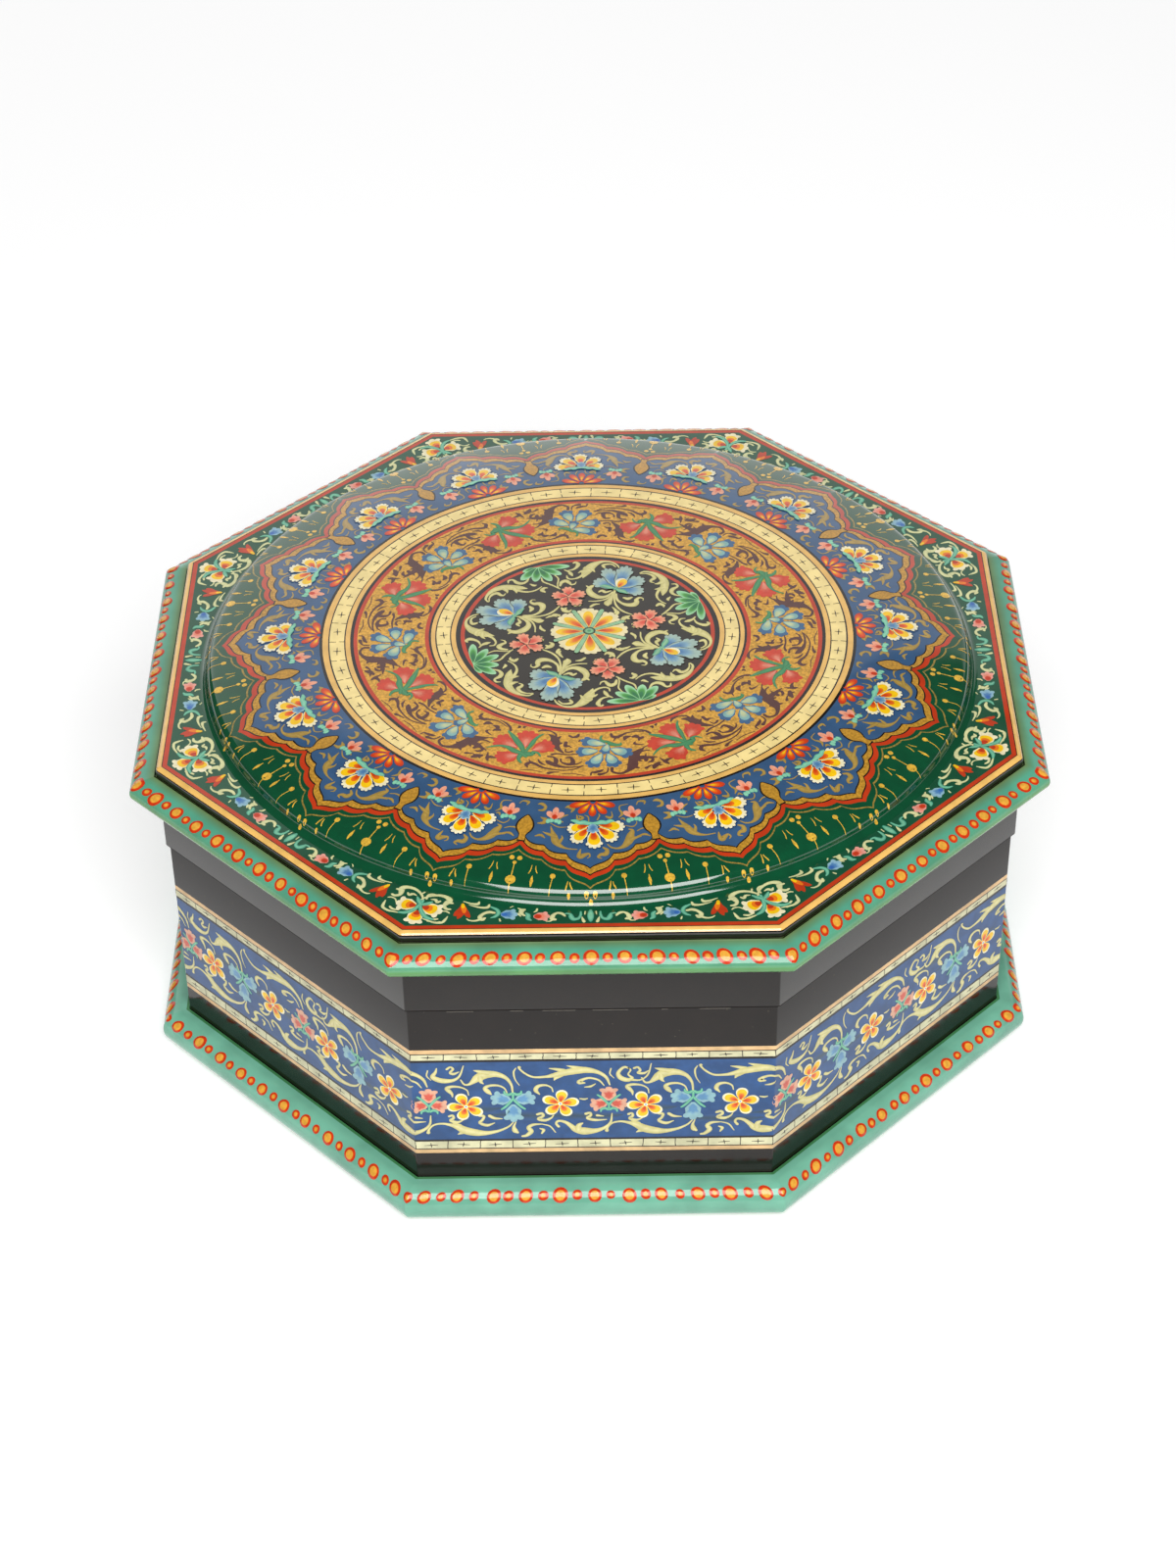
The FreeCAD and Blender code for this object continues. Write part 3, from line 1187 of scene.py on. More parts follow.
lobe_scrolls = [
    [(-34, 931, 3), (-58, 929, 5), (-76, 921, 11), (-90, 906, 20), (-97, 886, 17), (-104, 868, 8),
     (-109, 852, 2)],
    [(-92, 888, 12), (-112, 881, 9), (-128, 874, 2)],
    [(-80, 906, 11), (-74, 893, 6), (-76, 884, 2)],
    [(-120, 895, 3), (-132, 886, 9), (-146, 891, 3)],
    [(43, 915, 3), (53, 927, 5), (70, 931, 7), (87, 923, 15), (100, 906, 23), (106, 889, 20),
     (113, 872, 10), (104, 866, 3)],
    [(106, 903, 14), (120, 898, 8), (133, 896, 3)],
    [(124, 894, 3), (143, 890, 8), (156, 898, 3)],
    [(126, 875, 3), (140, 868, 4), (155, 868, 6), (158, 873, 3)],
    [(-25, 931, 3), (-28, 945, 9), (-26, 956, 16), (-15, 950, 12), (-5, 946, 6), (-2, 955, 4),
     (-8, 961, 2)],
    [(32, 926, 5), (41, 935, 10), (37, 948, 14), (25, 950, 10), (18, 958, 6), (26, 963, 3)],
    [(-112, 840, 2), (-89, 853, 4), (-65, 852, 2)],
    [(95, 851, 2), (116, 858, 4), (128, 849, 3), (130, 840, 2)],
    [(-147, 844, 4), (-131, 840, 12), (-128, 828, 13), (-142, 821, 3)],
    [(-89, 839, 3), (-86, 832, 9), (-77, 834, 3)],
    [(-87, 823, 3), (-81, 813, 8), (-65, 806, 3)],
    [(-39, 806, 3), (-35, 822, 9), (-23, 816, 12), (-33, 808, 3)],
    [(-4, 830, 3), (-6, 813, 4), (-16, 806, 2)],
    [(20, 825, 4), (27, 809, 4), (25, 802, 2)],
    [(46, 813, 6), (57, 819, 10), (64, 812, 5), (63, 795, 2)],
    [(82, 820, 2), (94, 806, 9), (88, 790, 5), (92, 775, 4), (116, 771, 2)],
    [(-56, 795, 4), (-51, 782, 13), (-64, 774, 13), (-75, 778, 3)],
    [(-154, 795, 4), (-139, 792, 10), (-135, 779, 9), (-148, 769, 11), (-160, 771, 3)],
    [(142, 776, 3), (150, 765, 5), (168, 767, 10), (166, 778, 3)],
    [(99, 832, 3), (94, 824, 7), (86, 827, 2)],
]

# Right half of the finial's outline, from its top to its point
finial_half = [
    (0.9, 91.0), (0.8, 89.3), (1.05, 88.4), (1.75, 87.2),
    (2.0, 85.8), (1.75, 84.4), (1.1, 83.1), (0.0, 81.8),
]
finial_middle = (0, 86)
finial_rim_shares = (1.24, 1.09)


def finial(art):
    """The gold spade that hangs from each valley of the medallion's edge."""
    shape = curve(finial_half + [(-x, y) for x, y in finial_half[-2::-1]], 4)
    grown = (shape - finial_middle) * finial_rim_shares + finial_middle
    art.fill(grown, "line", 2, finial_middle)
    art.fill(shape, [(0.5, "gold"), (1, "gold")], 3, finial_middle)


# Radius at which the drawing of a lobe is measured across
lobe_radius = 90


def medallion():
    """The flowers in the medallion's lobes, and the gold that hangs inside and outside its edge."""
    lobe = Painting()
    brushes(lobe, ("dull_gold", "soft_gold"), 1, lobe_scrolls)
    tulip(lobe, -10.3, 82.4, 2)
    tulip(lobe, 12.4, 82.4, -2)
    sunburst(lobe)
    lobe_flower(lobe)
    art = Painting()
    place_round(art, unrolled(lobe, lobe_radius), lobes)
    art.build("medallion_flowers", disc_surface, "lid", ornament_paint)
    spade = Painting()
    finial(spade)
    gold = Painting()
    place_round(gold, spade, lobes, first=-90 + math.degrees(half_lobe), shake=0.2)
    hanging = Painting()
    pendants(hanging)
    place_round(gold, unrolled(hanging, lobe_radius), lobes)
    gold.build("gold_ornament", disc_surface, "lid", gold_leaf, "gold_paint")


def pendants(art):
    """Gold drops and dots that hang over the green, between the medallion and the shoulder."""
    bright = "bright_gold"
    for x, drift in ((-8.6, -0.5), (7.6, 0.3)):
        dot(art, x, 102.3, 1.3, bright, tall=1.25)
        brush(art, [(x, 103.0, 0.2), (x + drift / 2, 105.0, 0.22), (x + drift, 107.2, 0.14)], bright)
    for side in (-1, 1):
        x = side * 4.8
        brush(art, [(x - 0.7, 106.2, 0.3), (x - 0.45, 105.0, 0.3), (x - 0.3, 103.8, 0.14)], bright)
        brush(art, [(x + 0.7, 106.0, 0.3), (x + 0.3, 105.0, 0.3), (x + 0.15, 104.0, 0.14)], bright)
        dot(art, x, 107.1, 0.7, bright)
        x = side * 13.2
        brush(art, [(x, 105.8, 0.3), (x, 104.4, 0.75), (x, 103.3, 0.4), (x, 102.6, 0.14)], bright)
        brush(art, [(x - 0.95, 101.9, 0.25), (x - 0.6, 100.7, 0.24), (x - 0.5, 99.2, 0.14)], bright)
        brush(art, [(x + 0.95, 101.6, 0.25), (x + 0.55, 100.5, 0.24), (x + 0.45, 99.4, 0.14)], bright)
        dot(art, side * 0.95, 106.9, 1.0, bright)
    dot(art, 0, 107.8, 0.9, bright)
    valley = lobe_radius * half_lobe
    for x, y, size in ((-0.95, 97.2, 1.3), (0.95, 97.2, 1.3), (0, 98.8, 1.0), (0, 104.4, 2.4)):
        dot(art, valley + x, y, size, bright, tall=1.15)
    brush(art, [(valley, 99.3, 0.22), (valley, 101.2, 0.24), (valley, 103.2, 0.3)], bright)
    brush(art, [(valley, 105.6, 0.24), (valley, 107.2, 0.2)], bright)


# Ticks on the cream bands: inner and outer radius of each ring, and how many cells it has
tick_rings = [(68.4, 72.5, 50), (38.75, 42.5, 31)]
cross_height = 1.05
cross_length = 1.6
wall_cross_height_share = 0.3
wall_cross_length = 1.7

# Strokes of a divider and of a cross: where the first cell starts, their widths, and how uneven they are
cell_start = 0.35
divider_widths = (0.26, 0.2)
divider_slant = 0.12
divider_shift = 0.08
divider_gap_shares = (0.12, 0.4)
cross_width = 0.32
upright_width = 0.16
cross_shift = (0.4, 0.12)
cross_lean = 0.2
cross_length_shares = (0.8, 1.1)


def jitter(size):
    """A small seeded difference, either way."""
    return dice.uniform(-size, size)


def tick_cell(art, x, y, wide, tall, edge, long, whole):
    """A divider and a small cross in a cell of a cream band. A divider is whole or two short strokes."""
    slant = jitter(divider_slant)
    left = x - wide / 2
    for side in (-1, 1):
        end = 0 if whole else side * edge * dice.uniform(*divider_gap_shares)
        foot = (left + slant * side, y + side * edge, divider_widths[0])
        brush(art, [foot, (left + jitter(divider_shift), y + end, divider_widths[1])], "ink", 1, 1)
    cx, cy = x + jitter(cross_shift[0]), y + jitter(cross_shift[1])
    lean = jitter(cross_lean)
    half = long * dice.uniform(*cross_length_shares)
    middle = (cx, cy, cross_width)
    across = [(cx - half, cy - lean, least_width), middle, (cx + half, cy + lean, least_width)]
    upright = [(cx + lean, cy - tall, upright_width), middle, (cx - lean, cy + tall, upright_width)]
    brush(art, across, "ink", 1, 1)
    brush(art, upright, "ink", 2, 1)


def ring_ticks():
    """The ticks and crosses on the disc's two cream rings."""
    art = Painting()
    for inner, outer, count in tick_rings:
        radius = (inner + outer) / 2
        ring = Painting()
        wide = math.tau * radius / count
        for index in range(count):
            x = wide * (index + cell_start)
            tick_cell(ring, x, radius, wide, cross_height, (outer - inner) / 2, cross_length, False)
        art.stamp(unrolled(ring, radius), 180, mirror=True, layer=1)
    art.build("ring_ticks", disc_surface, "lid", ornament_paint)


# Gold band: blue and red flowers by turns, in maroon scrollwork. Its petals: place, angle, length and width
band_radius = 55
band_start = -97.25
band_green = ("band_leaf", "leaf_light")
red_petals = [
    (-11.4, 58.2, 52, 6.0, 6.2),
    (-12.6, 55.4, 105, 7.8, 6.3),
    (-10.7, 54.6, 168, 7.4, 7.0),
    (-8.5, 55.4, -128, 6.5, 6.4),
]
red_coats = [
    (1.0, 1.0, [(0.2, "band_pink"), (0.6, "band_red"), (1, "band_red")]),
    (0.5, 0.2, [(0, "pink"), (1, "band_pink")]),
]
blue_petals = [
    (11.6, 51.3, 106, 7.6, 4.4),
    (9.2, 53.9, 86, 6.0, 4.6),
    (10.2, 55.3, 30, 6.6, 4.4),
    (11.9, 55.4, -14, 6.2, 4.4),
    (12.9, 53.4, -58, 6.4, 5.0),
    (12.3, 51.4, 22, 4.4, 3.4),
]
blue_coats = [
    (1.0, 1.0, [(0.5, "petal_blue"), (1, "petal_blue")]),
    (0.72, 0.62, [(0.4, "petal_pale"), (0.8, "petal_teal"), (1, "petal_teal")]),
]
band_leaves = [
    [(-103, 572, 12), (-108, 585, 14), (-108, 597, 10), (-103, 607, 8), (-97, 613, 5)],
    [(-108, 574, 12), (-130, 570, 18), (-150, 562, 13), (-173, 564, 8), (-190, 576, 6), (-199, 586, 3)],
    [(-104, 568, 10), (-117, 548, 16), (-138, 528, 18), (-160, 510, 12), (-180, 497, 5)],
    [(-100, 565, 8), (-97, 545, 10), (-93, 523, 14), (-90, 506, 11), (-83, 490, 8), (-73, 479, 4)],
    [(-102, 573, 14), (-92, 573, 20), (-81, 569, 16), (-79, 562, 12), (-68, 561, 7), (-60, 570, 5),
     (-57, 576, 3)],
    [(-102, 578, 12), (-93, 584, 10)],
]
band_stem = [
    [(108, 477, 7), (104, 488, 8), (110, 499, 10), (123, 503, 11), (133, 514, 15), (148, 520, 12),
     (159, 519, 9), (161, 512, 3)],
]
band_scrolls = [
    [(123, 616, 8), (123, 632, 7), (140, 642, 8), (160, 632, 12), (173, 614, 26), (178, 595, 24),
     (186, 572, 26), (200, 560, 18), (218, 548, 4)],
    [(176, 620, 14), (186, 629, 4)],
    [(170, 609, 14), (158, 607, 3)],
    [(186, 592, 14), (199, 602, 3)],
    [(208, 551, 3), (224, 544, 4), (240, 539, 5), (256, 538, 5), (272, 543, 3)],
    [(72, 643, 3), (74, 632, 5), (83, 630, 9), (94, 626, 10), (101, 621, 4)],
    [(92, 640, 11), (108, 634, 5), (113, 622, 4), (113, 614, 3)],
    [(202, 633, 9), (215, 626, 4), (230, 628, 4), (240, 634, 3)],
    [(209, 602, 10), (213, 592, 12), (222, 591, 10), (240, 597, 3)],
    [(212, 592, 9), (213, 582, 5), (217, 573, 2)],
    [(203, 516, 3), (198, 524, 8), (210, 530, 5), (222, 533, 2)],
    [(214, 515, 3), (218, 507, 10), (230, 503, 9)],
    [(139, 470, 9), (141, 481, 10), (155, 486, 12), (170, 480, 9), (190, 473, 5), (215, 473, 4),
     (240, 481, 3)],
    [(142, 500, 3), (148, 491, 5), (154, 486, 6)],
    [(174, 502, 6), (180, 492, 14), (197, 490, 3)],
    [(-77, 627, 3), (-83, 617, 10), (-76, 606, 11), (-63, 608, 9), (-45, 618, 7), (-20, 623, 5),
     (10, 624, 4), (35, 616, 4), (52, 604, 3)],
    [(-72, 606, 7), (-79, 599, 4), (-82, 593, 2)],
    [(54, 602, 3), (35, 608, 5), (10, 610, 7), (-10, 606, 12), (-30, 596, 15), (-39, 589, 6)],
    [(-14, 599, 10), (-15, 583, 12), (-23, 571, 6), (-38, 570, 7)],
    [(-4, 577, 6), (0, 590, 5), (15, 597, 10), (27, 594, 13), (27, 580, 11), (20, 568, 8), (8, 571, 4)],
    [(28, 598, 6), (42, 593, 5), (50, 584, 3)],
    [(-60, 588, 3), (-51, 601, 7), (-38, 608, 3)],
    [(-30, 560, 8), (-15, 555, 6), (10, 556, 5), (38, 552, 4)],
    [(-1, 549, 5), (-14, 537, 12), (-25, 523, 22), (-30, 508, 30), (-36, 492, 24), (-46, 482, 12),
     (-57, 477, 4)],
    [(-22, 513, 16), (-9, 508, 4)],
    [(-28, 492, 16), (-18, 480, 4)],
    [(-32, 486, 8), (-36, 472, 6), (-55, 462, 5), (-80, 462, 9), (-92, 470, 5)],
    [(1, 504, 11), (1, 520, 10), (10, 519, 7), (19, 524, 3)],
    [(3, 532, 3), (5, 543, 5), (14, 545, 6), (23, 541, 7)],
    [(8, 475, 8), (20, 480, 7), (32, 476, 11), (36, 468, 9)],
    [(-25, 640, 10), (-16, 635, 6), (-2, 632, 3)],
    [(-213, 640, 7), (-207, 630, 15), (-196, 622, 10)],
    [(-197, 624, 7), (-196, 635, 2)],
    [(-175, 634, 5), (-180, 622, 11), (-170, 616, 9), (-160, 616, 3)],
    [(-182, 619, 8), (-185, 610, 5), (-188, 602, 2)],
    [(-240, 589, 12), (-228, 587, 17), (-216, 590, 10), (-205, 599, 7), (-210, 609, 9), (-219, 611, 4)],
    [(-238, 584, 9), (-232, 568, 6), (-218, 560, 5), (-203, 562, 4)],
    [(-232, 494, 6), (-220, 494, 13), (-212, 502, 8), (-202, 503, 3)],
    [(-175, 492, 9), (-185, 479, 8), (-205, 469, 6), (-230, 464, 3)],
    [(-159, 474, 5), (-156, 468, 9), (-163, 466, 4)],
    [(-144, 465, 9), (-138, 462, 5)],
    [(60, 644, 2), (30, 636, 3), (6, 639, 2)],
    [(-90, 642, 2), (-64, 636, 3), (-40, 639, 2)],
    [(50, 496, 5), (43, 492, 7), (38, 499, 3)],
]


def gold_band_period(art):
    """A red flower on the left and a blue one on the right, with the scrolls of one eighth of the band."""
    for x, y, angle, length, width in red_petals:
        flower_petal(art, np.array([x, y]), angle, length, width, red_coats, 4, 0.24, 3, 0.15)
    brushes(art, band_green, 6, band_leaves)
    for x, y, angle, length, width in blue_petals:
        flower_petal(art, np.array([x, y]), angle, length, width, blue_coats, 3, 0.26, 3, 0.2)
    brushes(art, band_green, 6, band_stem)
    brushes(art, "maroon", 1, band_scrolls)


def gold_band():
    """The flowers and scrolls that run round the gold band."""
    period = Painting()
    gold_band_period(period)
    art = Painting()
    place_round(art, unrolled(period, band_radius), SIDES, first=band_start)
    art.build("gold_band_flowers", disc_surface, "lid", ornament_paint)


# Centre of the lid: four flowers, green fans and cream scrolls on black round one big flower
pink_run = [
    (0, "red_pink"), (0.3, "red_pink"), (0.62, "salmon"), (0.85, "light_salmon"), (1, "light_salmon"),
]
flower_rim_share = 1.16


def pink_flower(art, x, y):
    """Five toothed pink petals, each with a dark rim."""
    for index in range(5):
        angle = 3 + 72 * index
        shape = turned(wedge(5.1, 3.9, teeth=4, notch=0.3, waist=0.16, shoulder=0.62), angle)
        middle = outward(2.6, angle)
        rim = (shape - middle) * flower_rim_share + middle + (x, y)
        art.fill(rim, "warm_black", 3 + 2 * index, middle + (x, y))
        art.fill(shape + (x, y), pink_run, 4 + 2 * index, outward(1.2, angle) + (x, y))
    dot(art, x, y, 0.9, "light_salmon", 14)


# The green fan and the blue flower: angle, length and width of each leaf and petal
fan_leaves = [
    (53, 8.0, 2.7), (84, 7.2, 2.7), (119, 8.0, 2.7),
    (151, 7.8, 2.6), (182, 9.2, 2.4), (28, 5.0, 1.8),
]
fan_place = (31.9, 14.2)
fan_run = [(0.1, "leaf_deep"), (0.35, "leaf_deep"), (0.62, "leaf_mid"), (0.8, "leaf_tip"), (1, "leaf_rim")]
centre_petals = [(62, 7.8, 5.4), (-107, 7.8, 5.2), (20, 10.2, 4.8), (-60, 8.8, 5.2), (-15, 11.0, 5.2)]
sky_run = [
    (0.12, "dusk_blue"), (0.36, "dusk_blue"), (0.6, "blue_grey"), (0.8, "grey_teal"), (1, "grey_teal"),
]
flame_run = [(0, "dark_red"), (0.4, "orange"), (0.75, "yellow"), (1, "yellow")]
centre_scrolls = [
    [(93, 310, 4), (86, 326, 6), (70, 340, 7), (50, 344, 9), (32, 338, 16), (16, 325, 26), (5, 308, 29),
     (-4, 290, 26), (-9, 276, 16), (-12, 264, 4)],
    [(6, 314, 16), (-4, 316, 9), (-12, 310, 2)],
    [(-2, 296, 16), (-16, 296, 10), (-26, 288, 2)],
    [(14, 306, 14), (22, 292, 3)],
    [(-8, 284, 10), (-24, 266, 8), (-42, 258, 6), (-56, 262, 6), (-59, 275, 4)],
    [(-66, 304, 4), (-54, 296, 8), (-47, 284, 12), (-43, 274, 4)],
    [(82, 316, 4), (72, 328, 6), (58, 330, 8), (46, 324, 11), (52, 309, 5)],
    [(-39, 338, 7), (-33, 342, 8), (-26, 332, 13), (-30, 318, 10), (-40, 306, 7), (-60, 299, 3)],
    [(152, 283, 5), (164, 290, 7), (184, 286, 9), (202, 274, 15), (216, 256, 21), (222, 234, 24),
     (220, 210, 24), (218, 190, 18), (214, 172, 3)],
    [(214, 236, 16), (202, 230, 9), (193, 229, 2)],
    [(214, 208, 16), (202, 204, 9), (193, 202, 3)],
    [(206, 202, 10), (198, 178, 8), (200, 158, 6), (210, 142, 5), (223, 131, 3)],
    [(153, 280, 3), (170, 280, 5), (186, 272, 9), (193, 258, 12), (184, 248, 10), (182, 240, 6),
     (191, 234, 3)],
    [(242, 227, 3), (254, 226, 7), (258, 214, 7), (244, 202, 13), (240, 188, 12), (248, 175, 8),
     (264, 169, 5), (276, 169, 3)],
    [(236, 164, 4), (229, 153, 10), (231, 146, 3)],
    [(196, 122, 7), (205, 130, 13), (216, 123, 9), (216, 114, 3)],
    [(72, 192, 5), (62, 177, 9), (48, 168, 12), (31, 168, 17), (14, 180, 21), (5, 198, 18), (8, 216, 13),
     (19, 225, 10), (20, 231, 4)],
    [(6, 214, 10), (-2, 223, 5)],
    [(33, 193, 5), (42, 199, 10), (52, 191, 10), (68, 198, 3)],
    [(82, 182, 6), (84, 156, 8), (96, 138, 9), (114, 128, 15), (132, 129, 19), (140, 140, 15),
     (139, 152, 12), (148, 162, 7), (158, 158, 4), (158, 148, 2)],
    [(103, 163, 6), (115, 158, 13), (126, 164, 7)],
    [(78, 198, 7), (76, 170, 6), (78, 140, 6), (86, 116, 7), (102, 96, 7), (126, 80, 4)],
    [(73, 186, 5), (68, 164, 10), (63, 150, 16), (58, 138, 23), (57, 130, 16), (58, 124, 3)],
    [(54, 142, 12), (48, 136, 3)],
    [(76, 188, 5), (56, 160, 6), (30, 149, 5), (4, 148, 4)],
    [(70, 118, 3), (78, 106, 9), (80, 96, 8), (76, 87, 3)],
    [(9, 122, 8), (20, 132, 9), (34, 134, 3)],
    [(-74, 118, 6), (-66, 105, 15), (-54, 99, 11), (-46, 108, 3)],
    [(-80, 81, 9), (-94, 86, 9), (-106, 76, 3)],
    [(226, 78, 7), (242, 74, 11), (249, 62, 15), (240, 52, 11), (231, 46, 7), (234, 36, 5), (244, 32, 3)],
    [(210, 78, 4), (230, 102, 6), (246, 126, 6), (266, 132, 4)],
    [(214, 82, 4), (230, 86, 4), (260, 83, 5), (280, 94, 4)],
    [(99, 63, 5), (108, 66, 11), (117, 61, 6)],
    [(126, 38, 5), (129, 26, 11), (138, 20, 11), (141, 14, 3)],
]
centre_leaves = [
    [(78, 208, 5), (64, 213, 16), (49, 220, 15), (36, 219, 4)],
    [(81, 206, 5), (92, 197, 16), (104, 191, 16), (115, 180, 3)],
    [(84, 212, 9), (77, 203, 7)],
]


def centre_quadrant(art):
    """The upper right quarter of the lid's middle."""
    brushes(art, ("scroll_edge", "scroll_cream"), 1, centre_scrolls)
    for angle, length, width in fan_leaves:
        leaf = petal(length, width, belly=0.62)
        art.lay(leaf, angle, fan_place, fan_run, 3, 1.5)
    base = np.array([8.7, 21.2])
    coats = [(1.0, 1.0, sky_run)]
    for index, (angle, length, width) in enumerate(centre_petals):
        flower_petal(art, base, angle, length, width, coats, 5, 0.22, 3 + 2 * index, 0.16, "warm_black")
    drop = petal(5.0, 3.3, belly=0.6)
    art.fill(turned(drop, -22) + base + (-0.1, -0.2), "pale_cream", 14, base + (0.8, 2.2))
    inner = petal(4.5, 2.5, belly=0.6)
    art.fill(turned(inner, -28) + base + (0.1, -0.1), flame_run, 15, base + (0.3, 0.6))
    brushes(art, ("stem_teal", "pale_leaf"), 15, centre_leaves)
    pink_flower(art, -5.3, 17.0)


# The big flower: its flames, and the distance and two widths of each point of a spoke
big_flame_run = [(0, "dark_red"), (0.25, "deep_orange"), (0.55, "orange"), (0.8, "yellow"), (1, "yellow")]
spoke_points = [(1.6, 1.0, 0.8), (6.0, 1.5, 1.25), (10.4, 1.5, 1.25)]


def centre_flower(art):
    """The big cream flower in the very middle, with green spokes between its petals."""
    for index in range(8):
        angle = 45 * index + 2
        shape = wedge(11.0, 6.4, teeth=4, notch=0.22, waist=0.3, shoulder=0.8)
        art.lay(shape, angle, (0, 0), [(0.6, "ring_cream"), (1, "cream")], 8)
        art.lay(petal(7.6, 2.9), angle, outward(1.9, angle), big_flame_run, 9, 0.8)
        for layer, colour in ((0, "ink"), (1, "pale_leaf")):
            spoke = [(*outward(point[0], angle + 22.5), point[1 + layer]) for point in spoke_points]
            brush(art, spoke, colour, 10 + layer)
    dot(art, 0, 0, 3.6, "ink", 12)
    dot(art, 0, 0, 2.7, [(0.3, "leaf_light"), (0.6, "pale_leaf"), (1, "leaf_light")], 13)


def lid_centre():
    """The flowers in the black middle of the lid."""
    quadrant = Painting()
    centre_quadrant(quadrant)
    art = Painting()
    for index in range(4):
        art.stamp(quadrant, -90 * index, tone=1 + dice.uniform(-tone_spread, tone_spread))
    flower = Painting()
    centre_flower(flower)
    art.stamp(flower, 0, (0.4, 0.4))
    art.build("centre_flowers", disc_surface, "lid", ornament_paint)


# Border of the lid: small flowers along each side and a cluster at each corner
teal = ("stem_teal", "pale_teal")
border_paint = ("border_edge", "border_cream")

# Half flowers of the border: place, angle, length, width and colours
side_flowers = [
    (14.6, 111.6, 90, 4.2, 4.0, [(0.45, "salmon"), (0.8, "pale_pink"), (1, "pale_pink")]),
    (23.0, 110.6, 88, 4.4, 4.6, [(0.4, "mid_blue"), (0.7, "sky"), (1, "grey_sky")]),
]
bud = [
    (32.5, 106.3), (31.7, 108.4), (31.0, 110.0), (30.8, 111.7), (31.8, 111.4), (32.4, 110.5), (33.1, 111.5),
    (34.1, 112.2), (34.3, 111.1), (35.1, 110.9), (34.8, 109.4), (33.8, 108.1), (33.1, 106.5),
]
border_tendrils = [
    [(25, 1100, 5), (26, 1115, 8), (32, 1126, 9), (44, 1128, 13), (50, 1118, 14), (52, 1109, 8),
     (62, 1106, 5), (68, 1110, 3)],
    [(153, 1130, 6), (160, 1123, 13), (160, 1110, 12), (165, 1103, 6)],
    [(255, 1119, 4), (244, 1114, 9), (236, 1102, 11), (240, 1088, 10), (255, 1077, 6)],
]
border_scrolls = [
    [(17, 1138, 9), (20, 1129, 7), (22, 1120, 2)],
    [(14, 1099, 3), (15, 1110, 3)],
    [(66, 1115, 6), (74, 1106, 9), (86, 1104, 7), (96, 1113, 11), (98, 1125, 14), (90, 1129, 7)],
    [(97, 1129, 6), (104, 1135, 4), (114, 1135, 3)],
    [(169, 1112, 6), (177, 1104, 10), (176, 1093, 15), (169, 1089, 7)],
    [(176, 1090, 8), (186, 1083, 3)],
    [(179, 1114, 4), (186, 1105, 7)],
    [(137, 1087, 5), (139, 1095, 6), (145, 1099, 3)],
    [(246, 1100, 7), (260, 1097, 10), (274, 1103, 9), (283, 1115, 12), (277, 1123, 16), (270, 1120, 6)],
    [(280, 1124, 9), (296, 1130, 6), (310, 1128, 5), (317, 1122, 3)],
    [(231, 1132, 5), (233, 1124, 4)],
    [(260, 1069, 6), (264, 1078, 9), (280, 1079, 7), (300, 1073, 4), (312, 1067, 2)],
    [(286, 1057, 5), (290, 1065, 9), (306, 1063, 6), (326, 1054, 3)],
    [(196, 1073, 4), (206, 1080, 3)],
    [(362, 1099, 4), (368, 1093, 5), (380, 1091, 4), (392, 1098, 4)],
    [(366, 1112, 3), (373, 1126, 8), (381, 1135, 8), (400, 1134, 7), (418, 1125, 5), (429, 1119, 3)],
    [(392, 1121, 6), (404, 1122, 7), (418, 1114, 4)],
    [(360, 1084, 6), (370, 1082, 9), (376, 1071, 10), (370, 1060, 15), (362, 1050, 16), (370, 1037, 12),
     (390, 1029, 9), (416, 1032, 7), (438, 1046, 4)],
    [(366, 1056, 12), (354, 1061, 6)],
    [(386, 1052, 5), (394, 1055, 9), (399, 1046, 8), (410, 1044, 3)],
]


def border_half(art):
    """From the middle of a side to its right corner: across, and out from the centre line."""
    brushes(art, teal, 1, border_tendrils)
    brushes(art, border_paint, 1, border_scrolls)
    for x, y, angle, length, width, run in side_flowers:
        shape = wedge(length, width, teeth=3, notch=0.28, shoulder=0.6)
        art.fill(turned(shape, angle) + (x, y), run, 2, (x - 1.2, y))
    dot(art, 13.5, 111.6, 2.0, [(0.5, "red"), (1, "rose")], 3, 0.9)
    dot(art, 22.0, 110.7, 2.0, [(0.4, "bright_blue"), (1, "mid_blue")], 3, 0.8)
    art.fill(curve(bud, 3, True)[::-1], [(0.5, "red"), (1, "red")], 2, (32.8, 109.2))
    brush(art, [(32.4, 109.6, 0.9), (32.5, 108.4, 1.4), (32.7, 107.6, 1.1)], "orange", 3)
    brush(art, [(32.7, 107.6, 1.0), (32.8, 106.6, 0.8)], "yellow", 4)


# The corner's flowers: place, angle, length and width
corner_petals = [(0.7, 117.4, -6, 5.4, 5.6), (-0.6, 115.9, 84, 5.3, 6.0), (1.2, 115.6, -88, 5.6, 6.0)]
corner_coats = [
    (1.0, 1.0, [(0.6, "cream"), (1, "pale_cream")]),
    (0.72, 0.62, [(0.6, "yellow"), (1, "yellow")]),
    (0.5, 0.42, [(0.6, "orange"), (1, "orange")]),
    (0.32, 0.3, [(0.6, "red"), (1, "red")]),
]
corner_fork = [
    [(4, 1134, 8), (2, 1152, 10), (-5, 1176, 12), (-19, 1192, 12), (-36, 1198, 7)],
    [(6, 1156, 8), (16, 1173, 12), (36, 1190, 13), (58, 1192, 6)],
    [(4, 1150, 8), (-6, 1139, 13), (-16, 1126, 5)],
    [(6, 1150, 8), (18, 1142, 13), (28, 1130, 5)],
]
corner_scrolls = [
    [(-12, 1114, 5), (-6, 1102, 5)],
    [(9, 1124, 6), (7, 1110, 6), (14, 1102, 5), (26, 1100, 3)],
    [(46, 1202, 4), (66, 1200, 4), (78, 1192, 3)],
]


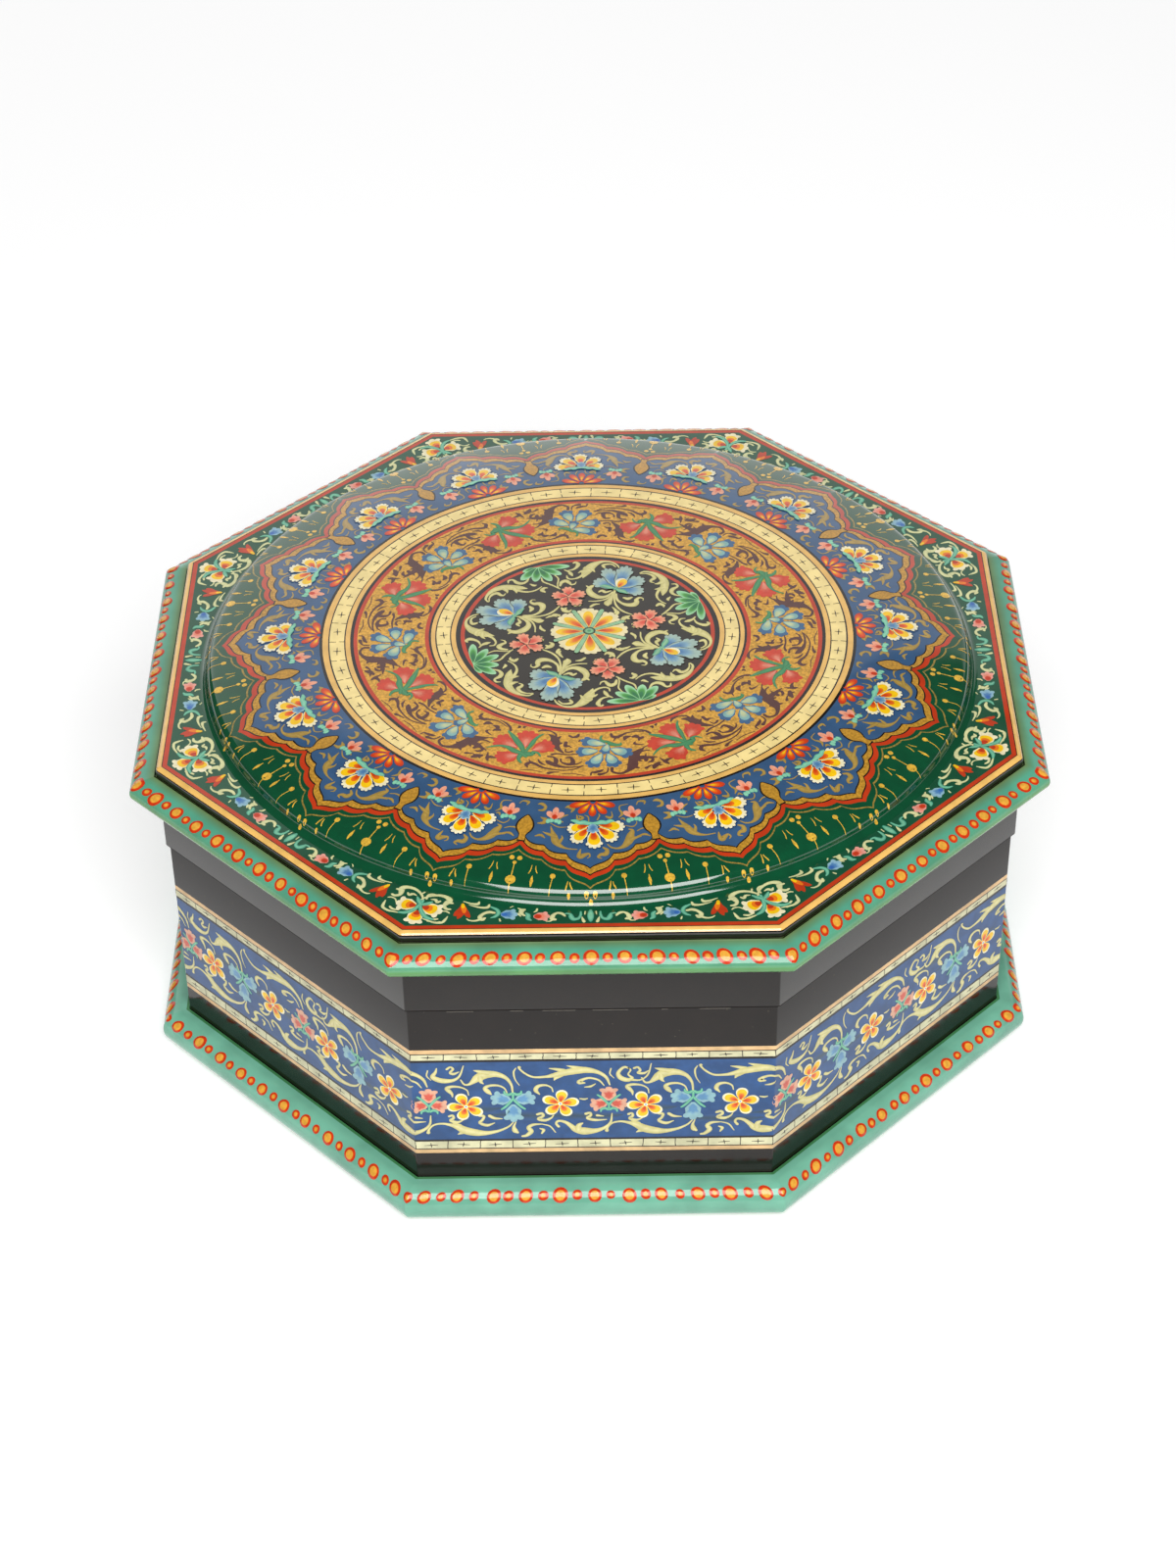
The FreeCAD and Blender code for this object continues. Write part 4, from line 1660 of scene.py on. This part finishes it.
def corner_cluster(art):
    """Three small flowers on a teal fork, on the line from the centre to a corner."""
    for x, y, angle, length, width in corner_petals:
        flower_petal(art, np.array([x, y]), angle, length, width, corner_coats, 3, 0.3, 2, 0.3)
    brushes(art, teal, 6, corner_fork)
    brushes(art, border_paint, 1, corner_scrolls)


def border():
    """The flower border round the board."""
    half = Painting()
    border_half(half)
    side = Painting()
    side.stamp(half)
    side.stamp(half, mirror=True)
    middle = petal(4.8, 1.7, belly=0.5, waist=0.3)
    side.fill(middle + (0, 109.2), [(0.5, "pale_teal"), (1, "stem_teal")], 2, (0, 111.6))
    corner = Painting()
    corner_cluster(corner)
    art = Painting()
    for index in range(SIDES):
        turn = 180 + 45 * index
        art.stamp(side, turn, mirror=True, tone=1 + dice.uniform(-tone_spread, tone_spread))
        art.stamp(corner, turn + 22.5, mirror=True, layer=1)
    art.build("border_flowers", board_surface, "lid", ornament_paint)


# Frieze on the walls: its drawing is squared off in small steps, across from the first flower and down.
# The length of the drawing is that of one side of the box.
frieze_grid = 1 / 15.65
frieze_stretch = 1.008
frieze_down = 75.9
frieze_across = 90
frieze_start = 4.3
frieze_length = 97.0
repeat_shake = 0.4
repeat_tone = 0.05
frieze_paint = ("scroll_edge", "wall_cream")


def frieze_brushes(art, strokes):
    """Cream strokes of the squared drawing, put in place on the wall. Widths are in tenths as elsewhere."""
    for points in strokes:
        x, y, wide = np.array(points, float).T
        down = frieze_down - y * frieze_grid * frieze_stretch
        brush(art, np.stack([(x - frieze_across) * frieze_grid, down, wide / tenths], 1), frieze_paint)


fire_run = [(0, "dark_red"), (0.25, "deep_orange"), (0.5, "orange"), (0.68, "yellow"), (1, "yellow")]
cream_rim_shares = (1.06, 1.07)
fire_shares = (0.88, 0.93)


def yellow_flower(art, x, y, turn):
    """Five pale petals with red and yellow flames, and a white eye."""
    for index in range(5):
        angle = turn + 72 * index
        shape = petal(4.5, 3.1, belly=0.64, waist=0.22, blunt=0.5, count=9)
        place = outward(0.35, angle) + (x, y)
        art.lay(shape * cream_rim_shares, angle, place, "pale_cream", 3)
        art.lay(shape * fire_shares, angle, place, fire_run, 4, 0.7)
    dot(art, x, y, 1.1, "white", 5)
    dot(art, x, y, 0.6, "blue_grey", 6)


def trefoil(art, x, y, turn, size, petals, rim, heart, stem):
    """Three notched petals, a teal fork between them and two teal leaves at the foot; turn 180 hangs it."""
    small = Painting()
    run = [(0.42, heart), (0.66, rim), (1, rim)]
    for angle, length, width, off in petals:
        shape = wedge(length, width, teeth=3, notch=0.34, waist=0.14)
        small.lay(shape, angle, outward(off, angle), run, 2, 1.4)
    fork = [(0, -0.8, 0.7), (0.9, 0.6, 0.8), (2.0, 2.0, 0.8), (3.0, 2.9, 0.6)]
    leaf = [(0.3, stem, 0.8), (1.0, stem + 0.5, 1.0), (2.0, stem + 0.1, 0.8), (2.2, stem - 0.7, 0.5)]
    for side in (-1, 1):
        for points in (fork, leaf):
            brush(small, [(side * across, up, wide) for across, up, wide in points], teal, 4)
    brush(small, [(0, -0.6, 0.6), (0, stem + 0.2, 0.8)], teal, 4)
    art.stamp(small, turn, (x, y), size)


# The two trefoils: angle, length, width and start of each petal
standing_petals = [(0, 5.2, 5.6, 0.7), (102, 5.0, 5.4, 0.2), (-102, 5.0, 5.4, 0.2)]
hanging_petals = [(0, 6.4, 5.8, 1.2), (104, 5.6, 5.6, 0.4), (-104, 5.6, 5.6, 0.4)]
frieze_scrolls = [
    [(443, 515, 5), (438, 470, 7), (415, 430, 12), (375, 410, 20), (330, 412, 28), (300, 430, 26),
     (280, 450, 16), (262, 466, 8), (242, 466, 6), (228, 440, 4)],
    [(340, 402, 16), (305, 393, 11), (283, 386, 2)],
    [(310, 430, 16), (312, 452, 10), (322, 464, 3)],
    [(258, 528, 3), (252, 500, 4), (225, 482, 6), (190, 478, 9), (168, 488, 12), (178, 505, 12),
     (188, 520, 8), (190, 538, 3)],
    [(420, 520, 3), (408, 490, 5), (380, 474, 7), (345, 476, 9), (328, 490, 12), (340, 510, 14),
     (352, 525, 5)],
    [(472, 475, 2), (455, 440, 4), (450, 400, 5), (460, 376, 3)],
    [(850, 478, 4), (835, 435, 9), (800, 405, 13), (750, 392, 22), (700, 398, 23), (655, 408, 21),
     (615, 420, 15), (580, 428, 9), (530, 428, 7), (495, 405, 6), (475, 380, 6), (474, 372, 10)],
    [(740, 385, 14), (700, 375, 10), (672, 366, 2)],
    [(660, 395, 14), (625, 385, 9), (598, 380, 2)],
    [(650, 415, 16), (627, 432, 13), (618, 448, 3)],
    [(826, 482, 3), (805, 452, 6), (770, 438, 7), (740, 445, 9), (722, 462, 14), (745, 466, 5)],
    [(745, 490, 3), (770, 486, 7), (790, 472, 3)],
    [(612, 515, 3), (605, 490, 5), (580, 476, 7), (550, 482, 11), (540, 505, 12), (555, 528, 4)],
    [(868, 440, 2), (851, 415, 4), (856, 385, 4)],
    [(442, 688, 3), (420, 715, 6), (380, 738, 9), (330, 750, 15), (285, 748, 24), (240, 735, 27),
     (205, 712, 20), (175, 700, 11), (140, 692, 7), (105, 700, 6), (84, 725, 6), (80, 745, 11)],
    [(225, 745, 14), (205, 756, 3)],
    [(215, 705, 12), (185, 688, 3)],
    [(452, 688, 3), (443, 715, 8), (447, 738, 15), (458, 750, 8)],
    [(300, 648, 9), (318, 652, 8), (312, 672, 8), (300, 690, 9), (330, 705, 10), (362, 692, 3)],
    [(342, 650, 10), (362, 664, 9), (395, 668, 3)],
    [(172, 650, 8), (186, 645, 7), (190, 660, 8), (178, 675, 10), (205, 685, 9), (232, 672, 3)],
    [(565, 702, 3), (525, 705, 9), (505, 722, 12), (515, 745, 14), (495, 768, 10), (478, 772, 7)],
    [(553, 728, 4), (568, 737, 9), (560, 757, 5)],
    [(560, 702, 3), (595, 715, 5), (618, 752, 3)],
    [(858, 645, 3), (852, 695, 7), (825, 728, 10), (785, 745, 17), (740, 746, 27), (705, 738, 19),
     (685, 715, 14), (660, 692, 10), (632, 685, 8), (622, 700, 7), (632, 718, 8)],
    [(715, 735, 18), (718, 712, 14), (733, 700, 5)],
    [(748, 645, 9), (765, 640, 8), (768, 655, 8), (755, 670, 10), (785, 682, 9), (835, 680, 3)],
    [(795, 655, 8), (822, 660, 3)],
    [(543, 645, 8), (562, 640, 9), (568, 655, 8), (548, 672, 10), (575, 680, 10), (600, 668, 6),
     (612, 650, 3)],
    [(724, 556, 4), (742, 560, 6), (756, 556, 3)],
]
second_repeat_scrolls = [
    [(175, 385, 6), (158, 378, 8), (142, 390, 9), (130, 415, 11), (142, 440, 15), (170, 452, 14),
     (188, 440, 9), (172, 420, 5), (182, 395, 5), (172, 382, 4)],
    [(185, 452, 8), (225, 452, 5), (255, 420, 5), (268, 360, 3)],
    [(196, 385, 7), (212, 380, 7), (222, 398, 7), (212, 412, 7), (238, 414, 8), (256, 400, 3)],
]
first_repeat_scrolls = [
    [(130, 372, 3), (124, 395, 8), (112, 420, 14), (135, 438, 17), (165, 445, 16), (200, 440, 10),
     (225, 415, 6), (242, 360, 3)],
    [(172, 378, 7), (187, 366, 6), (198, 378, 7), (185, 398, 7), (200, 405, 9), (222, 394, 3)],
]


def frieze_period(art, second):
    """One of the two repeats on each wall."""
    frieze_brushes(art, frieze_scrolls)
    frieze_brushes(art, second_repeat_scrolls if second else first_repeat_scrolls)
    trefoil(art, 0, 38.5, 0, 1.0, standing_petals, "frieze_pink", "soft_rose", -2.6)
    trefoil(art, 22.6, 39.5, 180, 1.04, hanging_petals, "grey_sky", "soft_blue", -2.8)
    yellow_flower(art, 9.9, 37.6, 20)
    yellow_flower(art, 35.2, 38.3, -8)


# Cream bands of the walls, which carry ticks
tick_bands = [(21.75, 24.4), (54.5, 56.5)]
tick_cells = 11

# Smears of the blue, worn lines on the walls' upper edge under the lid that are also a painted highlight of
# its eased edge, and specks of dust: how many to a
#  side, how far off their step, where, and how long or large.
# A smear's points have their share of its half length, their rise and their width.
smears = 6
smear_shake = 4
smear_heights = (30, 49)
smear_halves = (6, 13)
smear_shares = [(-1, 0, 0.6), (-0.5, 0.3, 2.6), (0.5, -0.2, 3.2), (1, 0.2, 0.8)]
wear_and_highlight_strokes = 7
wear_shake = 3
wear_highlight_halves = (0.3, 5)
wear_highlight_height = wall_top - 0.85
specks = 24
speck_low = 59
speck_sizes = (0.14, 0.26)


def along_walls(count, shake):
    """Places round the walls, so many to a side and each a little off its step."""
    for index in range(count * SIDES):
        yield wall_length * (index / count - 0.5) + jitter(shake)


def wall_ornament():
    """The flower frieze, which runs round the corners, and the ticks on the two cream bands."""
    art = Painting()
    for index in range(2 * SIDES):
        period = Painting()
        frieze_period(period, index % 2 == 1)
        start = wall_length * (index / 2 - 0.5) + frieze_start + jitter(repeat_shake)
        art.stamp(period, 0, (start, 0), wall_length / frieze_length, tone=1 + jitter(repeat_tone))
    for x in along_walls(smears, smear_shake):
        y = dice.uniform(*smear_heights)
        half = dice.uniform(*smear_halves)
        smear = [(x + share * half, y + up, wide) for share, up, wide in smear_shares]
        brush(art, smear, ("frieze_blue", "smear_blue"), 0, 3)
    # Short grey strokes under the lid: worn edge and painted highlight of the walls' eased top edge
    for x in along_walls(wear_and_highlight_strokes, wear_shake):
        half = dice.uniform(*wear_highlight_halves)
        ends = [(x - half, wear_highlight_height, least_width), (x + half, wear_highlight_height, least_width)]
        brush(art, ends, "edge_wear_and_highlight", 1, 1)
    for x in along_walls(specks, wear_shake):
        dot(art, x, dice.uniform(speck_low, wear_highlight_height), dice.uniform(*speck_sizes), "dust", 1, 1, 5)
    wide = wall_length / tick_cells
    for low, high in tick_bands:
        tall, edge = (high - low) * wall_cross_height_share, (high - low) / 2
        for cell in range(SIDES * tick_cells):
            x = wide * (cell + 0.5) - wall_length / 2
            tick_cell(art, x, (low + high) / 2, wide, tall, edge, wall_cross_length, True)
    art.build("frieze_flowers", walls_surface, "base", wall_paint)


# Raised dots of paint on the mouldings: a big kind and a small one. The rest says how uneven they are, and
# in how many steps they and the moulding's turn are drawn.
dot_runs = (
    [(0.25, "dot_gold"), (0.58, "dot_gold"), (0.64, "dot_orange"), (0.7, "dot_red"), (1, "dot_rim")],
    [(0.3, "dot_gold"), (0.5, "dot_orange"), (0.62, "dot_red"), (1, "dot_rim")],
)
dot_domes = (16, 11)
dot_shift = 0.2
dot_spread = 0.05
dot_squash = (0.9, 1.06)
dot_corners = 16
heart_part = 30
turn_steps = 60


def moulding_dots(name, body, bead, dot_tilt, on_side, sizes):
    """Raised dots of paint round a moulding, big and small by turns, with a big one at each corner."""
    turns = np.linspace(0, math.pi / 2, turn_steps)
    outs, heights, _ = bead.at(turns, -moulding_room)
    ways = np.concatenate([[0], np.cumsum(np.hypot(np.diff(outs), np.diff(heights)))])
    middle = bead.angle_of(math.radians(dot_tilt))
    ring = float(np.interp(middle, turns, outs))
    centre = float(np.interp(middle, turns, ways))
    length = 2 * ring * MITRE
    pitch = length / on_side
    art = Painting()
    for index in range(2 * SIDES * on_side):
        kind = index % 2
        corner = index % (2 * on_side) == 0
        shift = 0 if corner else dice.gauss(0, dot_shift)
        size = sizes[kind] * (1 + dice.gauss(0, dot_spread))
        place = np.array([pitch / 2 * index + shift, dice.gauss(0, dot_shift / 2)])
        shape = oval(size, size * dice.uniform(*dot_squash), dot_corners)
        heart = place + (dice.gauss(0, size / heart_part), dice.gauss(0, size / heart_part))
        art.fill(shape + place, dot_runs[kind], 2, heart, dome=dot_domes[kind])

    def lift(points, rise):
        """Lifts points onto the moulding: distance round the box, then distance up from the row of dots."""
        sides, local = parted(points[:, 0], length)
        climb = centre + points[:, 1]
        turn = np.interp(climb, ways, turns)
        past = np.maximum(climb - ways[-1], 0)
        out, height, facing = bead.at(turn, rise - moulding_room)
        out = out - past
        swing = sides * STEP
        way = np.stack([np.sin(swing), -np.cos(swing)], 1)
        along = np.stack([np.cos(swing), np.sin(swing)], 1)
        place = way * out[:, None] + along * (local / (length / 2) * out * MITRE)[:, None]
        normal = np.concatenate([way * facing[:, :1], facing[:, 1:]], 1)
        return np.concatenate([place, height[:, None]], 1), normal

    art.build(name, lift, body, dot_paint, "moulding_lacquer", smooth=True)


# Stage, lights and camera, in metres

# Strength of the floor's own white near the box and far behind it, and the distances between which it grows
floor_glow = 0.35
white_level = 1.0
glow_start = 0.7
glow_end = 1.8
world_fill = 0.08
floor_half = 9.0
floor_tone = 0.84
floor_roughness = 0.9
white = (1, 1, 1, 1)


def worked(tree, operation, *inputs, kind="ShaderNodeMath"):
    """A shader node that works one value out of its inputs."""
    return add_node(tree, kind, dict(enumerate(inputs)), operation=operation)


def plain_stage():
    """A pale floor that grows fully white farther out."""
    floor = bpy.data.meshes.new("floor")
    half = floor_half
    corners = [(-half, -half, 0), (half, -half, 0), (half, half, 0), (-half, half, 0)]
    floor.from_pydata(corners, [], [(0, 1, 2, 3)])
    piece = put("floor", floor)
    material, tree, shader = new_material("pale_floor")
    path = add_node(tree, "ShaderNodeLightPath")
    seen = worked(tree, "MAXIMUM", path.outputs["Is Camera Ray"], path.outputs["Is Glossy Ray"])
    through = worked(tree, "MAXIMUM", seen.outputs[0], path.outputs["Is Transmission Ray"])
    spot = add_node(tree, "ShaderNodeTexCoord")
    away = worked(tree, "LENGTH", spot.outputs["Object"], kind="ShaderNodeVectorMath")
    span = {"From Min": glow_start, "From Max": glow_end, "To Min": floor_glow, "To Max": white_level}
    glow = add_node(tree, "ShaderNodeMapRange", {"Value": away.outputs["Value"], **span})
    lift = worked(tree, "MULTIPLY", through.outputs[0], glow.outputs["Result"])
    look = {"Base Color": (floor_tone, floor_tone, floor_tone, 1), "Roughness": floor_roughness}
    feed(tree, shader, {**look, "Specular IOR Level": 0.0})
    feed(tree, shader, {"Emission Color": white, "Emission Strength": lift.outputs[0]})
    floor.materials.append(material)


def world_light():
    """An even fill from all round, seen as white behind the floor."""
    world = bpy.data.worlds.new("studio")
    bpy.context.scene.world = world
    world.use_nodes = True
    tree = world.node_tree
    path = add_node(tree, "ShaderNodeLightPath")
    seen = worked(tree, "MULTIPLY_ADD", path.outputs["Is Camera Ray"], white_level - world_fill, world_fill)
    feed(tree, tree.nodes["Background"], {"Color": white, "Strength": seen.outputs[0]})


def soft_box(name, place, aim, wide, tall, power, roll=0.0, fade=None):
    """A rectangular studio light. roll tilts its upper edge; fade is its strength at foot and top."""
    lamp = bpy.data.lights.new(name, "AREA")
    lamp.shape = "RECTANGLE"
    lamp.size = wide
    lamp.size_y = tall
    lamp.energy = power
    if fade:
        lamp.use_nodes = True
        tree = lamp.node_tree
        spot = add_node(tree, "ShaderNodeNewGeometry")
        parts = add_node(tree, "ShaderNodeSeparateXYZ", {0: spot.outputs["Parametric"]})
        span = {"Value": parts.outputs["Y"], "To Min": fade[0], "To Max": fade[1]}
        ranged = add_node(tree, "ShaderNodeMapRange", span)
        feed(tree, tree.nodes["Emission"], {"Strength": ranged.outputs["Result"]})
    piece = put(name, lamp)
    piece.location = place
    turn = (Vector(aim) - Vector(place)).to_track_quat("-Z", "Y")
    piece.rotation_euler = (turn @ Quaternion((0, 0, 1), math.radians(roll))).to_euler()


def studio():
    """The floor, the fill and the two lights."""
    plain_stage()
    world_light()
    middle = (0, 0, 0.08)
    soft_box("front_box", (0.1, -1.32, 1.44), middle, wide=1.7, tall=1.2, power=49)
    soft_box("back_box", (0.0, 1.6, 0.6), middle, wide=2.8, tall=1.36, power=12.0, roll=13, fade=(1.8, 0.5))


# Camera, from the photo's outlines: where it stands, where it looks and its roll
camera_place = Vector((0.00257, -0.72711, 0.64141))
camera_back = Vector((0.00342, -0.77761, 0.62874))
camera_up = Vector((0.01334, 0.62872, 0.77752))
camera_lens = 73.55
camera_sensor = 36
camera_near = 0.05
camera_far = 20


def make_camera():
    """The photo's camera."""
    data = bpy.data.cameras.new("camera")
    data.lens = camera_lens
    data.sensor_width = camera_sensor
    data.sensor_fit = "AUTO"
    data.clip_start = camera_near
    data.clip_end = camera_far
    piece = put("camera", data)
    back = camera_back.normalized()
    right = camera_up.cross(back).normalized()
    turn = Matrix((right, back.cross(right), back)).transposed()
    piece.matrix_world = Matrix.Translation(camera_place) @ turn.to_4x4()
    bpy.context.scene.camera = piece


lid_nodes, foot_nodes = side_nodes("lid_moulding"), side_nodes("foot_moulding")
lid_bead, foot_bead = Bead(lid_nodes, board_face), Bead(foot_nodes)
lid_disc()
lid_board()
# Mouldings with painted shade by facing, and in the crease where they meet the box
moulding("lid_moulding_ring", "lid", lid_nodes, lid_bead, skirt_face, lid_moulding_shaded_paints, "olive_crease_shade")
moulding("foot_moulding_ring", "base", foot_nodes, foot_bead, wall_face, foot_moulding_shaded_paints, "green_crease_shade")
wall_shell()
skirt_shell()
inner_pieces()
moulding_dots("lid_moulding_dots", "lid", lid_bead, dot_tilt=60, on_side=12, sizes=(4.2, 2.7))
moulding_dots("foot_moulding_dots", "base", foot_bead, dot_tilt=46, on_side=11, sizes=(4.0, 2.8))
lid_centre()
gold_band()
medallion()
ring_ticks()
border()
wall_ornament()
studio()
make_camera()
bpy.context.scene.view_settings.view_transform = "Standard"
